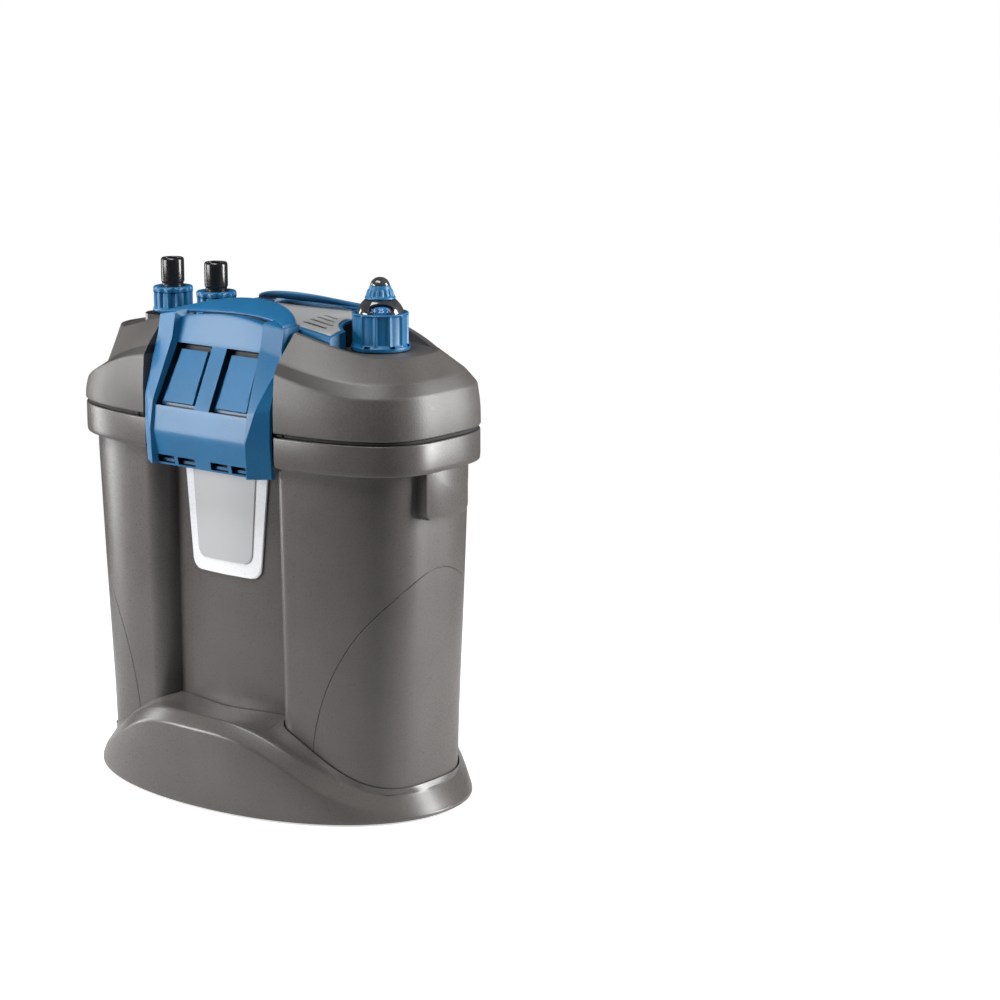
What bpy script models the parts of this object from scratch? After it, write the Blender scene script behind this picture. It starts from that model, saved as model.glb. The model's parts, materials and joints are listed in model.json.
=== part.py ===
"""Canister filter for an aquarium, with its heater, pump and three filter baskets.

X runs along the filter, -Y is its front, Z is up, and the origin is the middle of the base.
All lengths are in metres.
"""

import math

import bmesh
import bpy
import numpy as np
from mathutils import Matrix, Vector

# Main sizes, which most others follow
COLLAR_HALF_LENGTH = 0.1595
DECK = 0.3245                     # top of the lid between its raised rims

# Clearances and walls
GAP = 0.0003                      # between pieces that touch
FOOT_FIT = 0.0006                 # round the tank where it stands in the foot
RUNNING_FIT = 0.0004              # round pins, shafts and nipples
WALL = 0.003                      # tank and lid

# Foot
FOOT_HALF_LENGTH = COLLAR_HALF_LENGTH - 0.0041
FOOT_HALF_DEPTH = 0.1022
FOOT_POWER = 2.1                  # superellipse exponent of the foot's outline
FOOT_LIFT = 0.0015                # skirt above the floor
FOOT_END_HEIGHT = 0.015           # rim at the two ends
FOOT_HUMP = 0.051                 # extra rim height at the middle
FOOT_HUMP_REACH = 0.100
FOOT_HUMP_POWER = 3.2
FOOT_LEAN = 0.003                 # inward lean of the skirt up to its bevel
FOOT_BEVEL = 0.006                # width of the rim's bevel
FOOT_BEVEL_DROP = 0.009
FOOT_RISE = 0.0045                # top face, from the rim up to the tank
FOOT_PANEL_DIP = 0.007            # drop of that face in front of the centre panel
FOOT_WALL = 0.002
LEDGE_TOP = 0.018                 # shelf the tank stands on
LEDGE_THICK = 0.003
LEDGE_WIDTH = 0.016
LEDGE_OPENING_DEPTH = 0.040
RUBBER_FOOT_X = FOOT_HALF_LENGTH - 0.0504
RUBBER_FOOT_Y = 0.050
RUBBER_FOOT_RADIUS = 0.0060
RUBBER_FOOT_HEIGHT = 0.0035

# Tank
TANK_HEIGHTS = (0.018, 0.040, 0.150, 0.240)
TANK_HALF_LENGTHS = tuple(COLLAR_HALF_LENGTH - step for step in (0.0183, 0.0180, 0.0125, 0.0090))
TANK_HALF_DEPTHS = (0.0660, 0.0662, 0.068, 0.070)
TANK_POWER = 3.3
TANK_EDGE = 0.003                 # rounding under the tank
PANEL_MIDDLE = 0.057              # depth of the recessed panel at its middle
PANEL_GROOVE = 0.050              # and at the groove beside each column
GROOVE_X = 0.054
COLUMN_X = 0.068                  # where a column's rounded edge meets its flat front
COLLAR_HALF_DEPTH = 0.0742
COLLAR_POWER = 3.4
COLLAR_BOTTOM = 0.2476
COLLAR_TOP = 0.2693
LATCH_BAY_X = 0.062               # half-width of the bay each latch lies in
COLLAR_BAY_DEPTH = 0.066
TAB_HALF_WIDTH = 0.023
TAB_BOTTOM = 0.214
TAB_FACE = COLLAR_HALF_LENGTH - 0.0020
TAB_ROUNDING = 0.006

# Gasket
GASKET_HEIGHT = 0.0023
GASKET_INSET = 0.0015
GASKET_WIDTH = 0.006

# Lid
LID_BAY_DEPTH = 0.069             # lid wall behind a latch, at its foot
LID_BASE_STRAIGHT = 0.009
BAY_SLOPE_FOOT = (0.069, DECK - 0.0435)   # depth and height along the wall behind a latch
BAY_SLOPE_MIDDLE = (0.050, DECK - 0.0015)
BAY_SLOPE_TOP = (0.0455, DECK + 0.0145)
BAY_RIM = DECK + 0.0055                   # top of the lid wall behind a latch
LOWER_CREASE_RIGHT = (COLLAR_HALF_LENGTH - 0.0022, DECK - 0.0235, 0.012)
LOWER_CREASE_LEFT = (COLLAR_HALF_LENGTH - 0.0022, DECK - 0.0105, 0.024)
UPPER_CREASE_RIGHT = (COLLAR_HALF_LENGTH - 0.0080, DECK - 0.0142, 0.0115)
UPPER_CREASE_LEFT = (COLLAR_HALF_LENGTH - 0.0165, DECK - 0.0025, 0.0185)
CREASE_START_RIGHT = COLLAR_HALF_LENGTH - 0.0345
CREASE_REACH_RIGHT = 0.065
LOWER_CREASE_START_LEFT = COLLAR_HALF_LENGTH - 0.1045
LOWER_CREASE_REACH_LEFT = 0.083
UPPER_CREASE_START_LEFT = COLLAR_HALF_LENGTH - 0.1015
UPPER_CREASE_REACH_LEFT = 0.056
LOWER_CREASE_DEPTH = 0.0725
UPPER_CREASE_DEPTH = 0.068
UPPER_CREASE_POWER = 3.1
RIM_RIGHT = COLLAR_HALF_LENGTH - 0.0225
RIM_LEFT = COLLAR_HALF_LENGTH - 0.0195
RIM_DEPTH = 0.052
RIM_POWER = 2.7
RIM_END_HEIGHT = DECK + 0.0005
RIM_SLOPE = 0.26
RIM_SLOPE_START = COLLAR_HALF_LENGTH - 0.0415
RIM_WIDTH = 0.0035

# Latches
HINGE_Y = 0.0445
HINGE_Z = DECK + 0.0120
PIN_RADIUS = 0.002
LUG_RADIUS = 0.004
EAR_X = (0.0505, 0.0545)          # lid ear between the two lugs of a rail
LUG_THICK = 0.0032
RAIL_EDGE_X = 0.060
RAIL_RIDGE_X = 0.0452
HOOK_X = 0.052
HOOK_TIP = 0.062
WINDOW_X = (0.007, 0.0444)
WINDOW_Z = (DECK - 0.0431, DECK - 0.0003)
WINDOW_DEPTH = 0.0022
SLOT_Z = (COLLAR_BOTTOM - 0.0071, COLLAR_BOTTOM - 0.0014)
SLOT_XS = ((0.0075, 0.024), (0.0275, 0.0435))
ARCH_X = 0.056
ARCH_RISE = 0.0105
ARCH_THICK = 0.003
ARCH_FOOT_Z = DECK + 0.0205
ARCH_FRONT_Y = 0.039
ARCH_BACK_Y = 0.020
ARCH_FOOT_Y = (0.0565, 0.0455)

# Label plate
LABEL_ROWS = ((0.238, 0.040), (0.205, 0.0368), (0.168, 0.033), (0.163, 0.0305), (0.161, 0.026))
FIELD_ROWS = ((0.236, 0.0306), (0.205, 0.0284), (0.177, 0.0262), (0.1728, 0.0245), (0.171, 0.021))
LABEL_THICK = 0.0012
FIELD_THICK = 0.0005
LABEL_SEAT = 0.0006

# Pump cover
COVER_X = (0.1195 - COLLAR_HALF_LENGTH, COLLAR_HALF_LENGTH - 0.0735)
COVER_HALF_DEPTH = 0.040
COVER_FLAT_X = COVER_X[1] - 0.031              # its edge is level up to here, then falls
COVER_EDGE = DECK + 0.0165
COVER_EDGE_DROP = 0.0045
COVER_CROWN = 0.0042
COVER_BAY_RADIUS = 0.030          # round the heater
COVER_WALL = 0.0025
VENT_YS = (-0.029, -0.022, -0.015, -0.008)
VENT_X = (COVER_X[1] - 0.032, COVER_X[1] - 0.013)
VENT_WIDTH = 0.0025
VENT_DEPTH = 0.006

# Heater
HEATER_X = COLLAR_HALF_LENGTH - 0.0621
HEATER_SOCKET_RADIUS = 0.0172
HEATER_SOCKET_TOP = DECK + 0.0105
HEATER_BORE = 0.0122
HEATER_TUBE_RADIUS = 0.0105
HEATER_TUBE_BOTTOM = 0.062
HEATER_TUBE_WALL = 0.0012
ELEMENT_RADIUS = 0.0045
ELEMENT_TOP = 0.250
BODY_FLANGE_RADIUS = 0.0168
BODY_NECK_RADIUS = 0.0138
SEAL_THICK = 0.001
FLANGE_THICK = 0.0024
CAP_RADIUS = 0.0199
CAP_FLANGE_RADIUS = 0.0206
CAP_TOP = DECK + 0.0267
CAP_LIP = 0.002
CAP_FLUTES = 12
DOME_RADIUS = 0.0166
DOME_TOP = DECK + 0.0353
DOME_WALL = 0.0014
DOME_WINDOW_TURN = math.radians(42.8)     # the window's side, from the front towards +X
KNOB_RADIUS = 0.0107
KNOB_TOP_RADIUS = 0.0070
KNOB_TOP = DECK + 0.0452
KNOB_RIBS = 12
TIP_TOP = DECK + 0.0509

# Hose connectors
INLET_X = 0.0565 - COLLAR_HALF_LENGTH
OUTLET_X = INLET_X + 0.044
ADAPTER_OVERHANG = 0.0165
ADAPTER_HALF_DEPTH = 0.0165
ADAPTER_TOP = DECK + 0.0090
SPIGOT_RADIUS = 0.0126
SPIGOT_TOP = DECK + 0.0190
PIPE_RADIUS = 0.0092
PIPE_WALL = 0.002
WASHER_THICK = 0.001
NIPPLE_RADIUS = 0.0085
NIPPLE_BORE = 0.0065
NIPPLE_TOP = DECK + 0.0489
NIPPLE_FLANGE = 0.0122
NIPPLE_FLANGE_THICK = 0.003
NUT_RADIUS = 0.0150
NUT_TOP = DECK + 0.0280
NUT_RIBS = 16
RISER_BOTTOM = 0.030
PIPE_FLANGE_RADIUS = 0.0125

# Cable gland
GLAND_X = 0.0095 - COLLAR_HALF_LENGTH
GLAND_Y = 0.025
GLAND_SEAT = DECK - 0.0363
GLAND_RADIUS = 0.0055
GLAND_BORE = 0.0026
GLAND_TOP = DECK - 0.0195

# Pump
PUMP_X = -0.008
MOTOR_RADIUS = 0.028
MOTOR_BOTTOM = DECK - 0.0585
ROTOR_WELL_RADIUS = 0.011
ROTOR_WELL_TOP = DECK - 0.0125
MAGNET_RADIUS = 0.0095
MAGNET_HEIGHT = 0.035
BUSH_THICK = 0.004
SHAFT_RADIUS = 0.0015
CHAMBER_RADIUS = 0.024
CHAMBER_BORE = 0.019
CHAMBER_HEIGHT = 0.021
CHAMBER_COVER_THICK = 0.003
IMPELLER_RADIUS = 0.0165
IMPELLER_HUB = 0.006
IMPELLER_VANES = 5
SPIGOT_PIPE_RADIUS = 0.0065
SPIGOT_PIPE_BORE = 0.0045
SPIGOT_Z = DECK - 0.0690
SOCKET_MOUTH_X = OUTLET_X + 0.014
SOCKET_RADIUS = 0.0088

# Baskets
BASKET_X = (INLET_X + 0.015, HEATER_X - 0.0174)
BASKET_HALF_DEPTH = 0.0445
BASKET_HEIGHT = 0.062
BASKET_LEG = 0.0080
BASKET_WALL = 0.0018
BASKET_CORNER = 0.012
BASKET_BRIDGE = 0.012
BASKET_BRIDGE_THICK = 0.003
BASKET_SLOTS = 5
FOAM_CLEARANCE = 0.0006

# Colours
BROWN = (0.118, 0.108, 0.100)
DARK_BROWN = (0.070, 0.064, 0.060)
BLUE = (0.014, 0.082, 0.240)
BLACK = (0.012, 0.012, 0.013)
WHITE = (0.80, 0.82, 0.83)
PALE_GREY = (0.56, 0.58, 0.60)


# ---------------------------------------------------------------- materials and objects

def finish(name, colour, roughness, metallic=0.0):
    """A Principled material of one finish, made once."""
    found = bpy.data.materials.get(name)
    if found:
        return found
    made = bpy.data.materials.new(name)
    made.use_nodes = True
    shader = made.node_tree.nodes["Principled BSDF"]
    shader.inputs["Base Color"].default_value = (*colour, 1.0)
    shader.inputs["Roughness"].default_value = roughness
    shader.inputs["Metallic"].default_value = metallic
    made.diffuse_color = (*colour, 1.0)
    return made


def brown_plastic():
    return finish("brown_plastic", BROWN, 0.42)


def blue_plastic():
    return finish("blue_plastic", BLUE, 0.30)


def black_plastic():
    return finish("black_plastic", BLACK, 0.35)


def grey_plastic():
    return finish("grey_plastic", (0.23, 0.24, 0.25), 0.45)


def black_rubber():
    return finish("black_rubber", BLACK, 0.85)


def white_plate():
    return finish("white_plate", WHITE, 0.35)


def pale_plate():
    return finish("pale_plate", PALE_GREY, 0.40)


def steel():
    return finish("steel", (0.55, 0.55, 0.56), 0.25, 1.0)


def titanium():
    return finish("titanium", (0.42, 0.41, 0.40), 0.35, 1.0)


def ceramic():
    return finish("ceramic", (0.80, 0.79, 0.75), 0.20)


def magnet():
    return finish("magnet", (0.05, 0.05, 0.055), 0.55, 0.3)


def basket_plastic():
    return finish("basket_plastic", (0.025, 0.026, 0.028), 0.50)


def foam():
    return finish("filter_foam", (0.02, 0.06, 0.15), 0.95)


def finished(name, bm, material):
    """Turn a bmesh into a smooth-shaded object with its faces pointing out."""
    bmesh.ops.recalc_face_normals(bm, faces=bm.faces)
    mesh = bpy.data.meshes.new(name)
    bm.to_mesh(mesh)
    bm.free()
    mesh.shade_smooth()
    mesh.set_sharp_from_angle(angle=math.radians(35))
    mesh.materials.append(material)
    obj = bpy.data.objects.new(name, mesh)
    bpy.context.scene.collection.objects.link(obj)
    return obj


def combine(obj, tool, operation):
    """Join a tool to an object, or cut it out, and keep the tool as a hidden guide."""
    tool.hide_render = True
    tool.display_type = "WIRE"
    tool.parent = obj
    change = obj.modifiers.new(operation.title(), "BOOLEAN")
    change.operation = operation
    change.object = tool
    change.solver = "EXACT"


def hang_on(objects, name, point):
    """Give a moving body an empty on its joint's axis, and parent its pieces to it."""
    empty = bpy.data.objects.new(name, None)
    empty.location = point
    bpy.context.scene.collection.objects.link(empty)
    for obj in objects:
        obj.data.transform(Matrix.Translation(-Vector(point)))
        obj.parent = empty
        for tool in obj.children:
            tool.data.transform(Matrix.Translation(-Vector(point)))


# ---------------------------------------------------------------- shapes

def add_skin(bm, rings, closed=False):
    """Add quads between rings of equal length, then close them end to end or cap both ends."""
    rows = [[bm.verts.new(point) for point in ring] for ring in rings]
    count = len(rows[0])
    pairs = list(zip(rows, rows[1:]))
    if closed:
        pairs.append((rows[-1], rows[0]))
    for low, high in pairs:
        for i in range(count):
            j = (i + 1) % count
            bm.faces.new((low[i], low[j], high[j], high[i]))
    if not closed:
        bm.faces.new(rows[0][::-1])
        bm.faces.new(rows[-1])


def skin(name, rings, material, closed=False):
    """One object whose surface runs over a stack of rings."""
    bm = bmesh.new()
    add_skin(bm, rings, closed)
    return finished(name, bm, material)


def at_height(outline, height):
    """Lift an outline's x and y to a height, which may differ from point to point."""
    x, y = outline
    return np.column_stack([x, y, np.broadcast_to(height, x.shape)])


def outline(right, left, depth, power, front, steps):
    """Superellipse with its own half-length on each side, given at set x along front and back."""
    def quadrant(reach):
        start = math.acos((front[-1] / reach) ** (power / 2))
        turn = np.linspace(start, 0.0, steps + 1)[1:]
        x = np.concatenate([front, reach * np.cos(turn) ** (2 / power)])
        y = depth * np.maximum(0.0, 1 - (x / reach) ** power) ** (1 / power)
        return x, y
    xr, yr = quadrant(right)
    xl, yl = quadrant(left)
    x = np.concatenate([xr, xr[-2::-1], -xl[1:], -xl[-2:0:-1]])
    y = np.concatenate([-yr, yr[-2::-1], yl[1:], -yl[-2:0:-1]])
    return x, y


def bay_limited(shape, depth):
    """Hold an outline back to a depth inside the latch bays, front and rear."""
    x, y = shape
    inside = np.abs(x) <= LATCH_BAY_X + 1e-6
    limited = np.clip(y, -np.asarray(depth), np.asarray(depth))
    return x, np.where(inside, limited, y)


def inset(shape, distance):
    """Move an outline inwards along its corner normals."""
    x, y = shape
    dx = np.roll(x, -1) - np.roll(x, 1)
    dy = np.roll(y, -1) - np.roll(y, 1)
    length = np.hypot(dx, dy)
    return x - distance * dy / length, y + distance * dx / length


def prism(name, section, low, high, material, axis="X"):
    """A flat outline pushed straight along X, Y or Z, from one place to the other."""
    bm = bmesh.new()
    order = {"X": (2, 0, 1), "Y": (0, 2, 1), "Z": (0, 1, 2)}[axis]
    rings = []
    for place in (low, high):
        values = [(u, v, place) for u, v in section]
        rings.append([tuple(point[k] for k in order) for point in values])
    add_skin(bm, rings)
    return finished(name, bm, material)


def add_box(bm, low, high):
    """Add a plain box between two corners."""
    made = bmesh.ops.create_cube(bm, size=1.0)["verts"]
    for vert in made:
        for k in range(3):
            vert.co[k] = low[k] if vert.co[k] < 0 else high[k]


def boxes(name, corners, material):
    """One object of several separate boxes, for use as a tool."""
    bm = bmesh.new()
    for low, high in corners:
        add_box(bm, low, high)
    return finished(name, bm, material)


def circle(centre, radius, height, steps):
    """A level ring of points; the radius may be an array."""
    turn = np.arange(steps) * 2 * math.pi / steps
    x = centre[0] + radius * np.cos(turn)
    y = centre[1] + radius * np.sin(turn)
    return at_height((x, y), height)


def turned(name, profile, material, centre=(0.0, 0.0), steps=24):
    """A (radius, height) profile spun round a vertical axis; it may start and end on the axis."""
    bm = bmesh.new()
    verts = [bm.verts.new((radius, 0.0, height)) for radius, height in profile]
    edges = [bm.edges.new(pair) for pair in zip(verts, verts[1:])]
    if profile[0][0] > 0:
        edges.append(bm.edges.new((verts[-1], verts[0])))
    bmesh.ops.spin(bm, geom=verts + edges, cent=(0, 0, 0), axis=(0, 0, 1),
                   angle=2 * math.pi, steps=steps, use_merge=True)
    bmesh.ops.remove_doubles(bm, verts=bm.verts, dist=1e-6)
    bmesh.ops.translate(bm, verts=bm.verts, vec=(*centre, 0.0))
    return finished(name, bm, material)


def tube_profile(outer, inner, bottom, top):
    return [(outer, top), (outer, bottom), (inner, bottom), (inner, top)]


def fluted(name, levels, ribs, material, centre):
    """A closed turned shape whose marked levels are drawn in at every second point."""
    turn = np.arange(2 * ribs) % 2
    rings = [circle(centre, radius - groove * turn, height, 2 * ribs)
             for radius, height, groove in levels]
    return skin(name, rings, material, closed=True)


def lying_tube(name, x_low, x_high, y, z, radius, material, steps=12):
    """A solid round bar along X."""
    turn = np.arange(steps) * 2 * math.pi / steps
    section = [(y + radius * math.cos(a), z + radius * math.sin(a)) for a in turn]
    return prism(name, section, x_low, x_high, material)


# ---------------------------------------------------------------- tank and foot

TANK_FRONT = np.array([0, 0.020, 0.040, GROOVE_X, 0.0575, LATCH_BAY_X, 0.0635, COLUMN_X, 0.080])
TANK_END_STEPS = 6


def panel_depth(x):
    """Depth of the recessed panel, and of the columns' rounded edges beside it."""
    across = np.abs(x)
    panel = PANEL_MIDDLE - (PANEL_MIDDLE - PANEL_GROOVE) * (across / GROOVE_X) ** 2
    share = np.clip((across - GROOVE_X) / (COLUMN_X - GROOVE_X), 0, 1)
    return panel, np.sqrt(1 - (1 - share) ** 2)


def tank_outline(height):
    """The tank's outline; its size may be read at a height of its own for each point."""
    x_size = np.interp(height, TANK_HEIGHTS, TANK_HALF_LENGTHS)
    y_size = np.interp(height, TANK_HEIGHTS, TANK_HALF_DEPTHS)
    x, y = outline(1.0, 1.0, 1.0, TANK_POWER, TANK_FRONT / TANK_HALF_LENGTHS[-1], TANK_END_STEPS)
    count = len(TANK_FRONT)
    straight = np.abs(x) <= TANK_FRONT[count - 1] / TANK_HALF_LENGTHS[-1] + 1e-6
    x = np.where(straight, x * TANK_HALF_LENGTHS[-1], x * x_size)
    y = np.sign(y) * y_size * np.maximum(0, 1 - (np.abs(x) / x_size) ** TANK_POWER) ** (1 / TANK_POWER)
    panel, rise = panel_depth(x)
    side = np.abs(y)
    column = PANEL_GROOVE + (side - PANEL_GROOVE) * rise
    shaped = np.where(np.abs(x) <= GROOVE_X, panel, column)
    front = np.where(np.abs(x) < COLUMN_X, shaped, side)
    return x, np.sign(y) * front


def collar_outline():
    """The collar's outline, set back in the latch bays."""
    shape = outline(COLLAR_HALF_LENGTH, COLLAR_HALF_LENGTH, COLLAR_HALF_DEPTH, COLLAR_POWER,
                    TANK_FRONT, TANK_END_STEPS)
    return bay_limited(shape, COLLAR_BAY_DEPTH)


def tank_inside(height):
    return inset(tank_outline(height), WALL)


def tank_body():
    """Open-topped tank with a collar round its mouth and a tab under the collar at each end."""
    bottom = LEDGE_TOP + GAP
    knee = bottom + TANK_EDGE
    middle = TANK_HEIGHTS[2]
    neck = TANK_HEIGHTS[3]
    rings = [at_height(inset(tank_outline(bottom), TANK_EDGE), bottom)]
    for height in (knee, middle, neck, COLLAR_BOTTOM):
        rings.append(at_height(tank_outline(height), height))
    for height in (COLLAR_BOTTOM, COLLAR_TOP):
        rings.append(at_height(collar_outline(), height))
    rings.append(at_height(tank_inside(neck), COLLAR_TOP))
    for height in (neck, middle, knee):
        rings.append(at_height(tank_inside(height), height))
    tank = skin("tank", rings, brown_plastic())
    combine(tank, end_tabs(), "UNION")
    return tank


def end_tabs():
    """Two tabs with rounded lower corners, one at each end of the tank."""
    inner = TANK_HALF_LENGTHS[-1] - WALL - 0.0003
    top = COLLAR_BOTTOM + 0.002
    bend = [(TAB_HALF_WIDTH - TAB_ROUNDING * (1 - math.sin(a)),
             TAB_BOTTOM + TAB_ROUNDING * (1 - math.cos(a))) for a in np.linspace(0, math.pi / 2, 4)]
    section = bend + [(TAB_HALF_WIDTH, top), (-TAB_HALF_WIDTH, top)] + [(-y, z) for y, z in bend[::-1]]
    bm = bmesh.new()
    for side in (-1, 1):
        rings = [[(side * x, y, z) for y, z in section] for x in (inner, TAB_FACE)]
        add_skin(bm, rings)
    return finished("end_tabs", bm, brown_plastic())


def foot_rim(x):
    """Height of the foot's rim along X."""
    return FOOT_END_HEIGHT + FOOT_HUMP * np.exp(-(np.abs(x) / FOOT_HUMP_REACH) ** FOOT_HUMP_POWER)


def foot_outline(inward):
    """The foot's outline, drawn in by a distance, with points at the tank's places along X."""
    reach = FOOT_HALF_LENGTH - inward
    return outline(reach, reach, FOOT_HALF_DEPTH - inward, FOOT_POWER, TANK_FRONT, TANK_END_STEPS)


def ledge_opening():
    reach = TANK_HALF_LENGTHS[0] - LEDGE_WIDTH
    return outline(reach, reach, LEDGE_OPENING_DEPTH, 3, TANK_FRONT, TANK_END_STEPS)


def base_foot():
    """Hollow foot whose top face rises to the tank, with a shelf inside for the tank."""
    joint_x = tank_outline(LEDGE_TOP)[0]
    across = np.abs(joint_x)
    joint = foot_rim(across) + FOOT_RISE - FOOT_PANEL_DIP * np.maximum(0, 1 - (across / GROOVE_X) ** 2)
    bevel_in = FOOT_LEAN + FOOT_BEVEL
    skirt = foot_outline(FOOT_LEAN)
    rim = foot_outline(bevel_in)
    under_rim = foot_outline(bevel_in + FOOT_WALL)
    under_skirt = foot_outline(FOOT_LEAN + FOOT_WALL)
    around = inset(tank_outline(joint), -FOOT_FIT)
    seat = inset(tank_outline(LEDGE_TOP), -FOOT_FIT)
    outside = inset(tank_outline(LEDGE_TOP), -FOOT_FIT - FOOT_WALL)
    under = np.maximum(LEDGE_TOP - LEDGE_THICK + 0.0005, joint - 0.0075)
    rings = [
        at_height(foot_outline(0.0), FOOT_LIFT),
        at_height(skirt, foot_rim(skirt[0]) - FOOT_BEVEL_DROP),
        at_height(rim, foot_rim(rim[0])),
        at_height(around, joint),
        at_height(seat, LEDGE_TOP),
        at_height(ledge_opening(), LEDGE_TOP),
        at_height(ledge_opening(), LEDGE_TOP - LEDGE_THICK),
        at_height(outside, LEDGE_TOP - LEDGE_THICK),
        at_height(outside, under),
        at_height(under_rim, foot_rim(under_rim[0]) - 2 * FOOT_WALL),
        at_height(under_skirt, foot_rim(under_skirt[0]) - FOOT_BEVEL_DROP - FOOT_WALL),
        at_height(foot_outline(FOOT_WALL + 0.001), FOOT_LIFT),
    ]
    foot = skin("base_foot", rings, brown_plastic(), closed=True)
    combine(foot, foot_bosses(), "UNION")
    return foot


def foot_places():
    names = {(-1, -1): "front_left", (1, -1): "front_right", (-1, 1): "rear_left", (1, 1): "rear_right"}
    return {name: (sx * RUBBER_FOOT_X, sy * RUBBER_FOOT_Y) for (sx, sy), name in names.items()}


def foot_bosses():
    """Four bosses under the shelf that the rubber feet press against."""
    bm = bmesh.new()
    for centre in foot_places().values():
        rings = [circle(centre, RUBBER_FOOT_RADIUS, height, 12)
                 for height in (RUBBER_FOOT_HEIGHT + GAP, LEDGE_TOP - LEDGE_THICK / 2)]
        add_skin(bm, rings)
    return finished("foot_bosses", bm, brown_plastic())


def rubber_feet():
    made = []
    for name, centre in foot_places().items():
        edge = 0.0008
        profile = [(0, RUBBER_FOOT_HEIGHT), (RUBBER_FOOT_RADIUS, RUBBER_FOOT_HEIGHT),
                   (RUBBER_FOOT_RADIUS, edge), (RUBBER_FOOT_RADIUS - edge, 0), (0, 0)]
        made.append(turned("rubber_foot_" + name, profile, black_rubber(), centre, 12))
    return made


def curved_plate(name, rows, front_from_panel, thickness, material):
    """A plate that follows the curved front panel; rows give its half-width at each height."""
    def ring(row, out):
        height, half = row
        x = half * np.linspace(-1, 1, 9)
        depth = PANEL_MIDDLE - (PANEL_MIDDLE - PANEL_GROOVE) * (x / GROOVE_X) ** 2
        return np.column_stack([x, -depth - out, np.full(len(x), height)])
    rings = []
    for row in rows:
        back = ring(row, front_from_panel)
        front = ring(row, front_from_panel + thickness)
        rings.append(np.vstack([front, back[::-1]]))
    return skin(name, rings, material)


def label_pieces():
    """Bare label plate in two layers."""
    frame = curved_plate("label_frame", LABEL_ROWS, LABEL_SEAT, LABEL_THICK, white_plate())
    over = LABEL_SEAT + LABEL_THICK + GAP
    field = curved_plate("label_field", FIELD_ROWS, over, FIELD_THICK, pale_plate())
    return [frame, field]


# ---------------------------------------------------------------- gasket and lid

LID_FRONT = np.array([0, 0.030, LATCH_BAY_X, 0.0635, 0.085])
LID_END_STEPS = 7


def lid_gasket():
    """Flat ring in the seam between the collar and the lid."""
    outer = inset(collar_outline(), GASKET_INSET)
    inner = inset(collar_outline(), GASKET_INSET + GASKET_WIDTH)
    low = COLLAR_TOP + GAP
    rings = [at_height(outer, low), at_height(outer, low + GASKET_HEIGHT),
             at_height(inner, low + GASKET_HEIGHT), at_height(inner, low)]
    return skin("lid_gasket", rings, black_rubber(), closed=True)


def bay_depth(height):
    """Depth of the lid wall behind a latch."""
    points = (BAY_SLOPE_FOOT, BAY_SLOPE_MIDDLE, BAY_SLOPE_TOP)
    return np.interp(height, [p[1] for p in points], [p[0] for p in points])


def lid_outline(right, left, depth, power):
    return outline(right, left, depth, power, LID_FRONT, LID_END_STEPS)


def lower_crease(x):
    """Height of the lower crease: it falls from the middle towards both ends."""
    right = np.clip((CREASE_START_RIGHT - x) / CREASE_REACH_RIGHT, 0, 1) ** 1.32
    left = np.clip((-x - LOWER_CREASE_START_LEFT) / LOWER_CREASE_REACH_LEFT, 0, 9) ** 1.6
    return np.where(x > 0, LOWER_CREASE_RIGHT[1] + LOWER_CREASE_RIGHT[2] * right,
                    LOWER_CREASE_LEFT[1] - LOWER_CREASE_LEFT[2] * left)


def upper_crease(x):
    """Height of the upper crease."""
    right = np.clip((CREASE_START_RIGHT - x) / CREASE_REACH_RIGHT, 0, 1) ** 1.32
    left = np.clip((-x - UPPER_CREASE_START_LEFT) / UPPER_CREASE_REACH_LEFT, 0, 9) ** 1.4
    return np.where(x > 0, UPPER_CREASE_RIGHT[1] + UPPER_CREASE_RIGHT[2] * right,
                    UPPER_CREASE_LEFT[1] - UPPER_CREASE_LEFT[2] * left)


def lid_rim(x):
    """Height of the rim round the deck; it is cut down behind the latches."""
    height = RIM_END_HEIGHT + RIM_SLOPE * np.maximum(0, RIM_SLOPE_START - np.abs(x))
    height = np.minimum(height, RIM_END_HEIGHT + RIM_SLOPE * (RIM_SLOPE_START - LATCH_BAY_X))
    return np.where(np.abs(x) <= LATCH_BAY_X + 1e-6, np.minimum(height, BAY_RIM), height)


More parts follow.
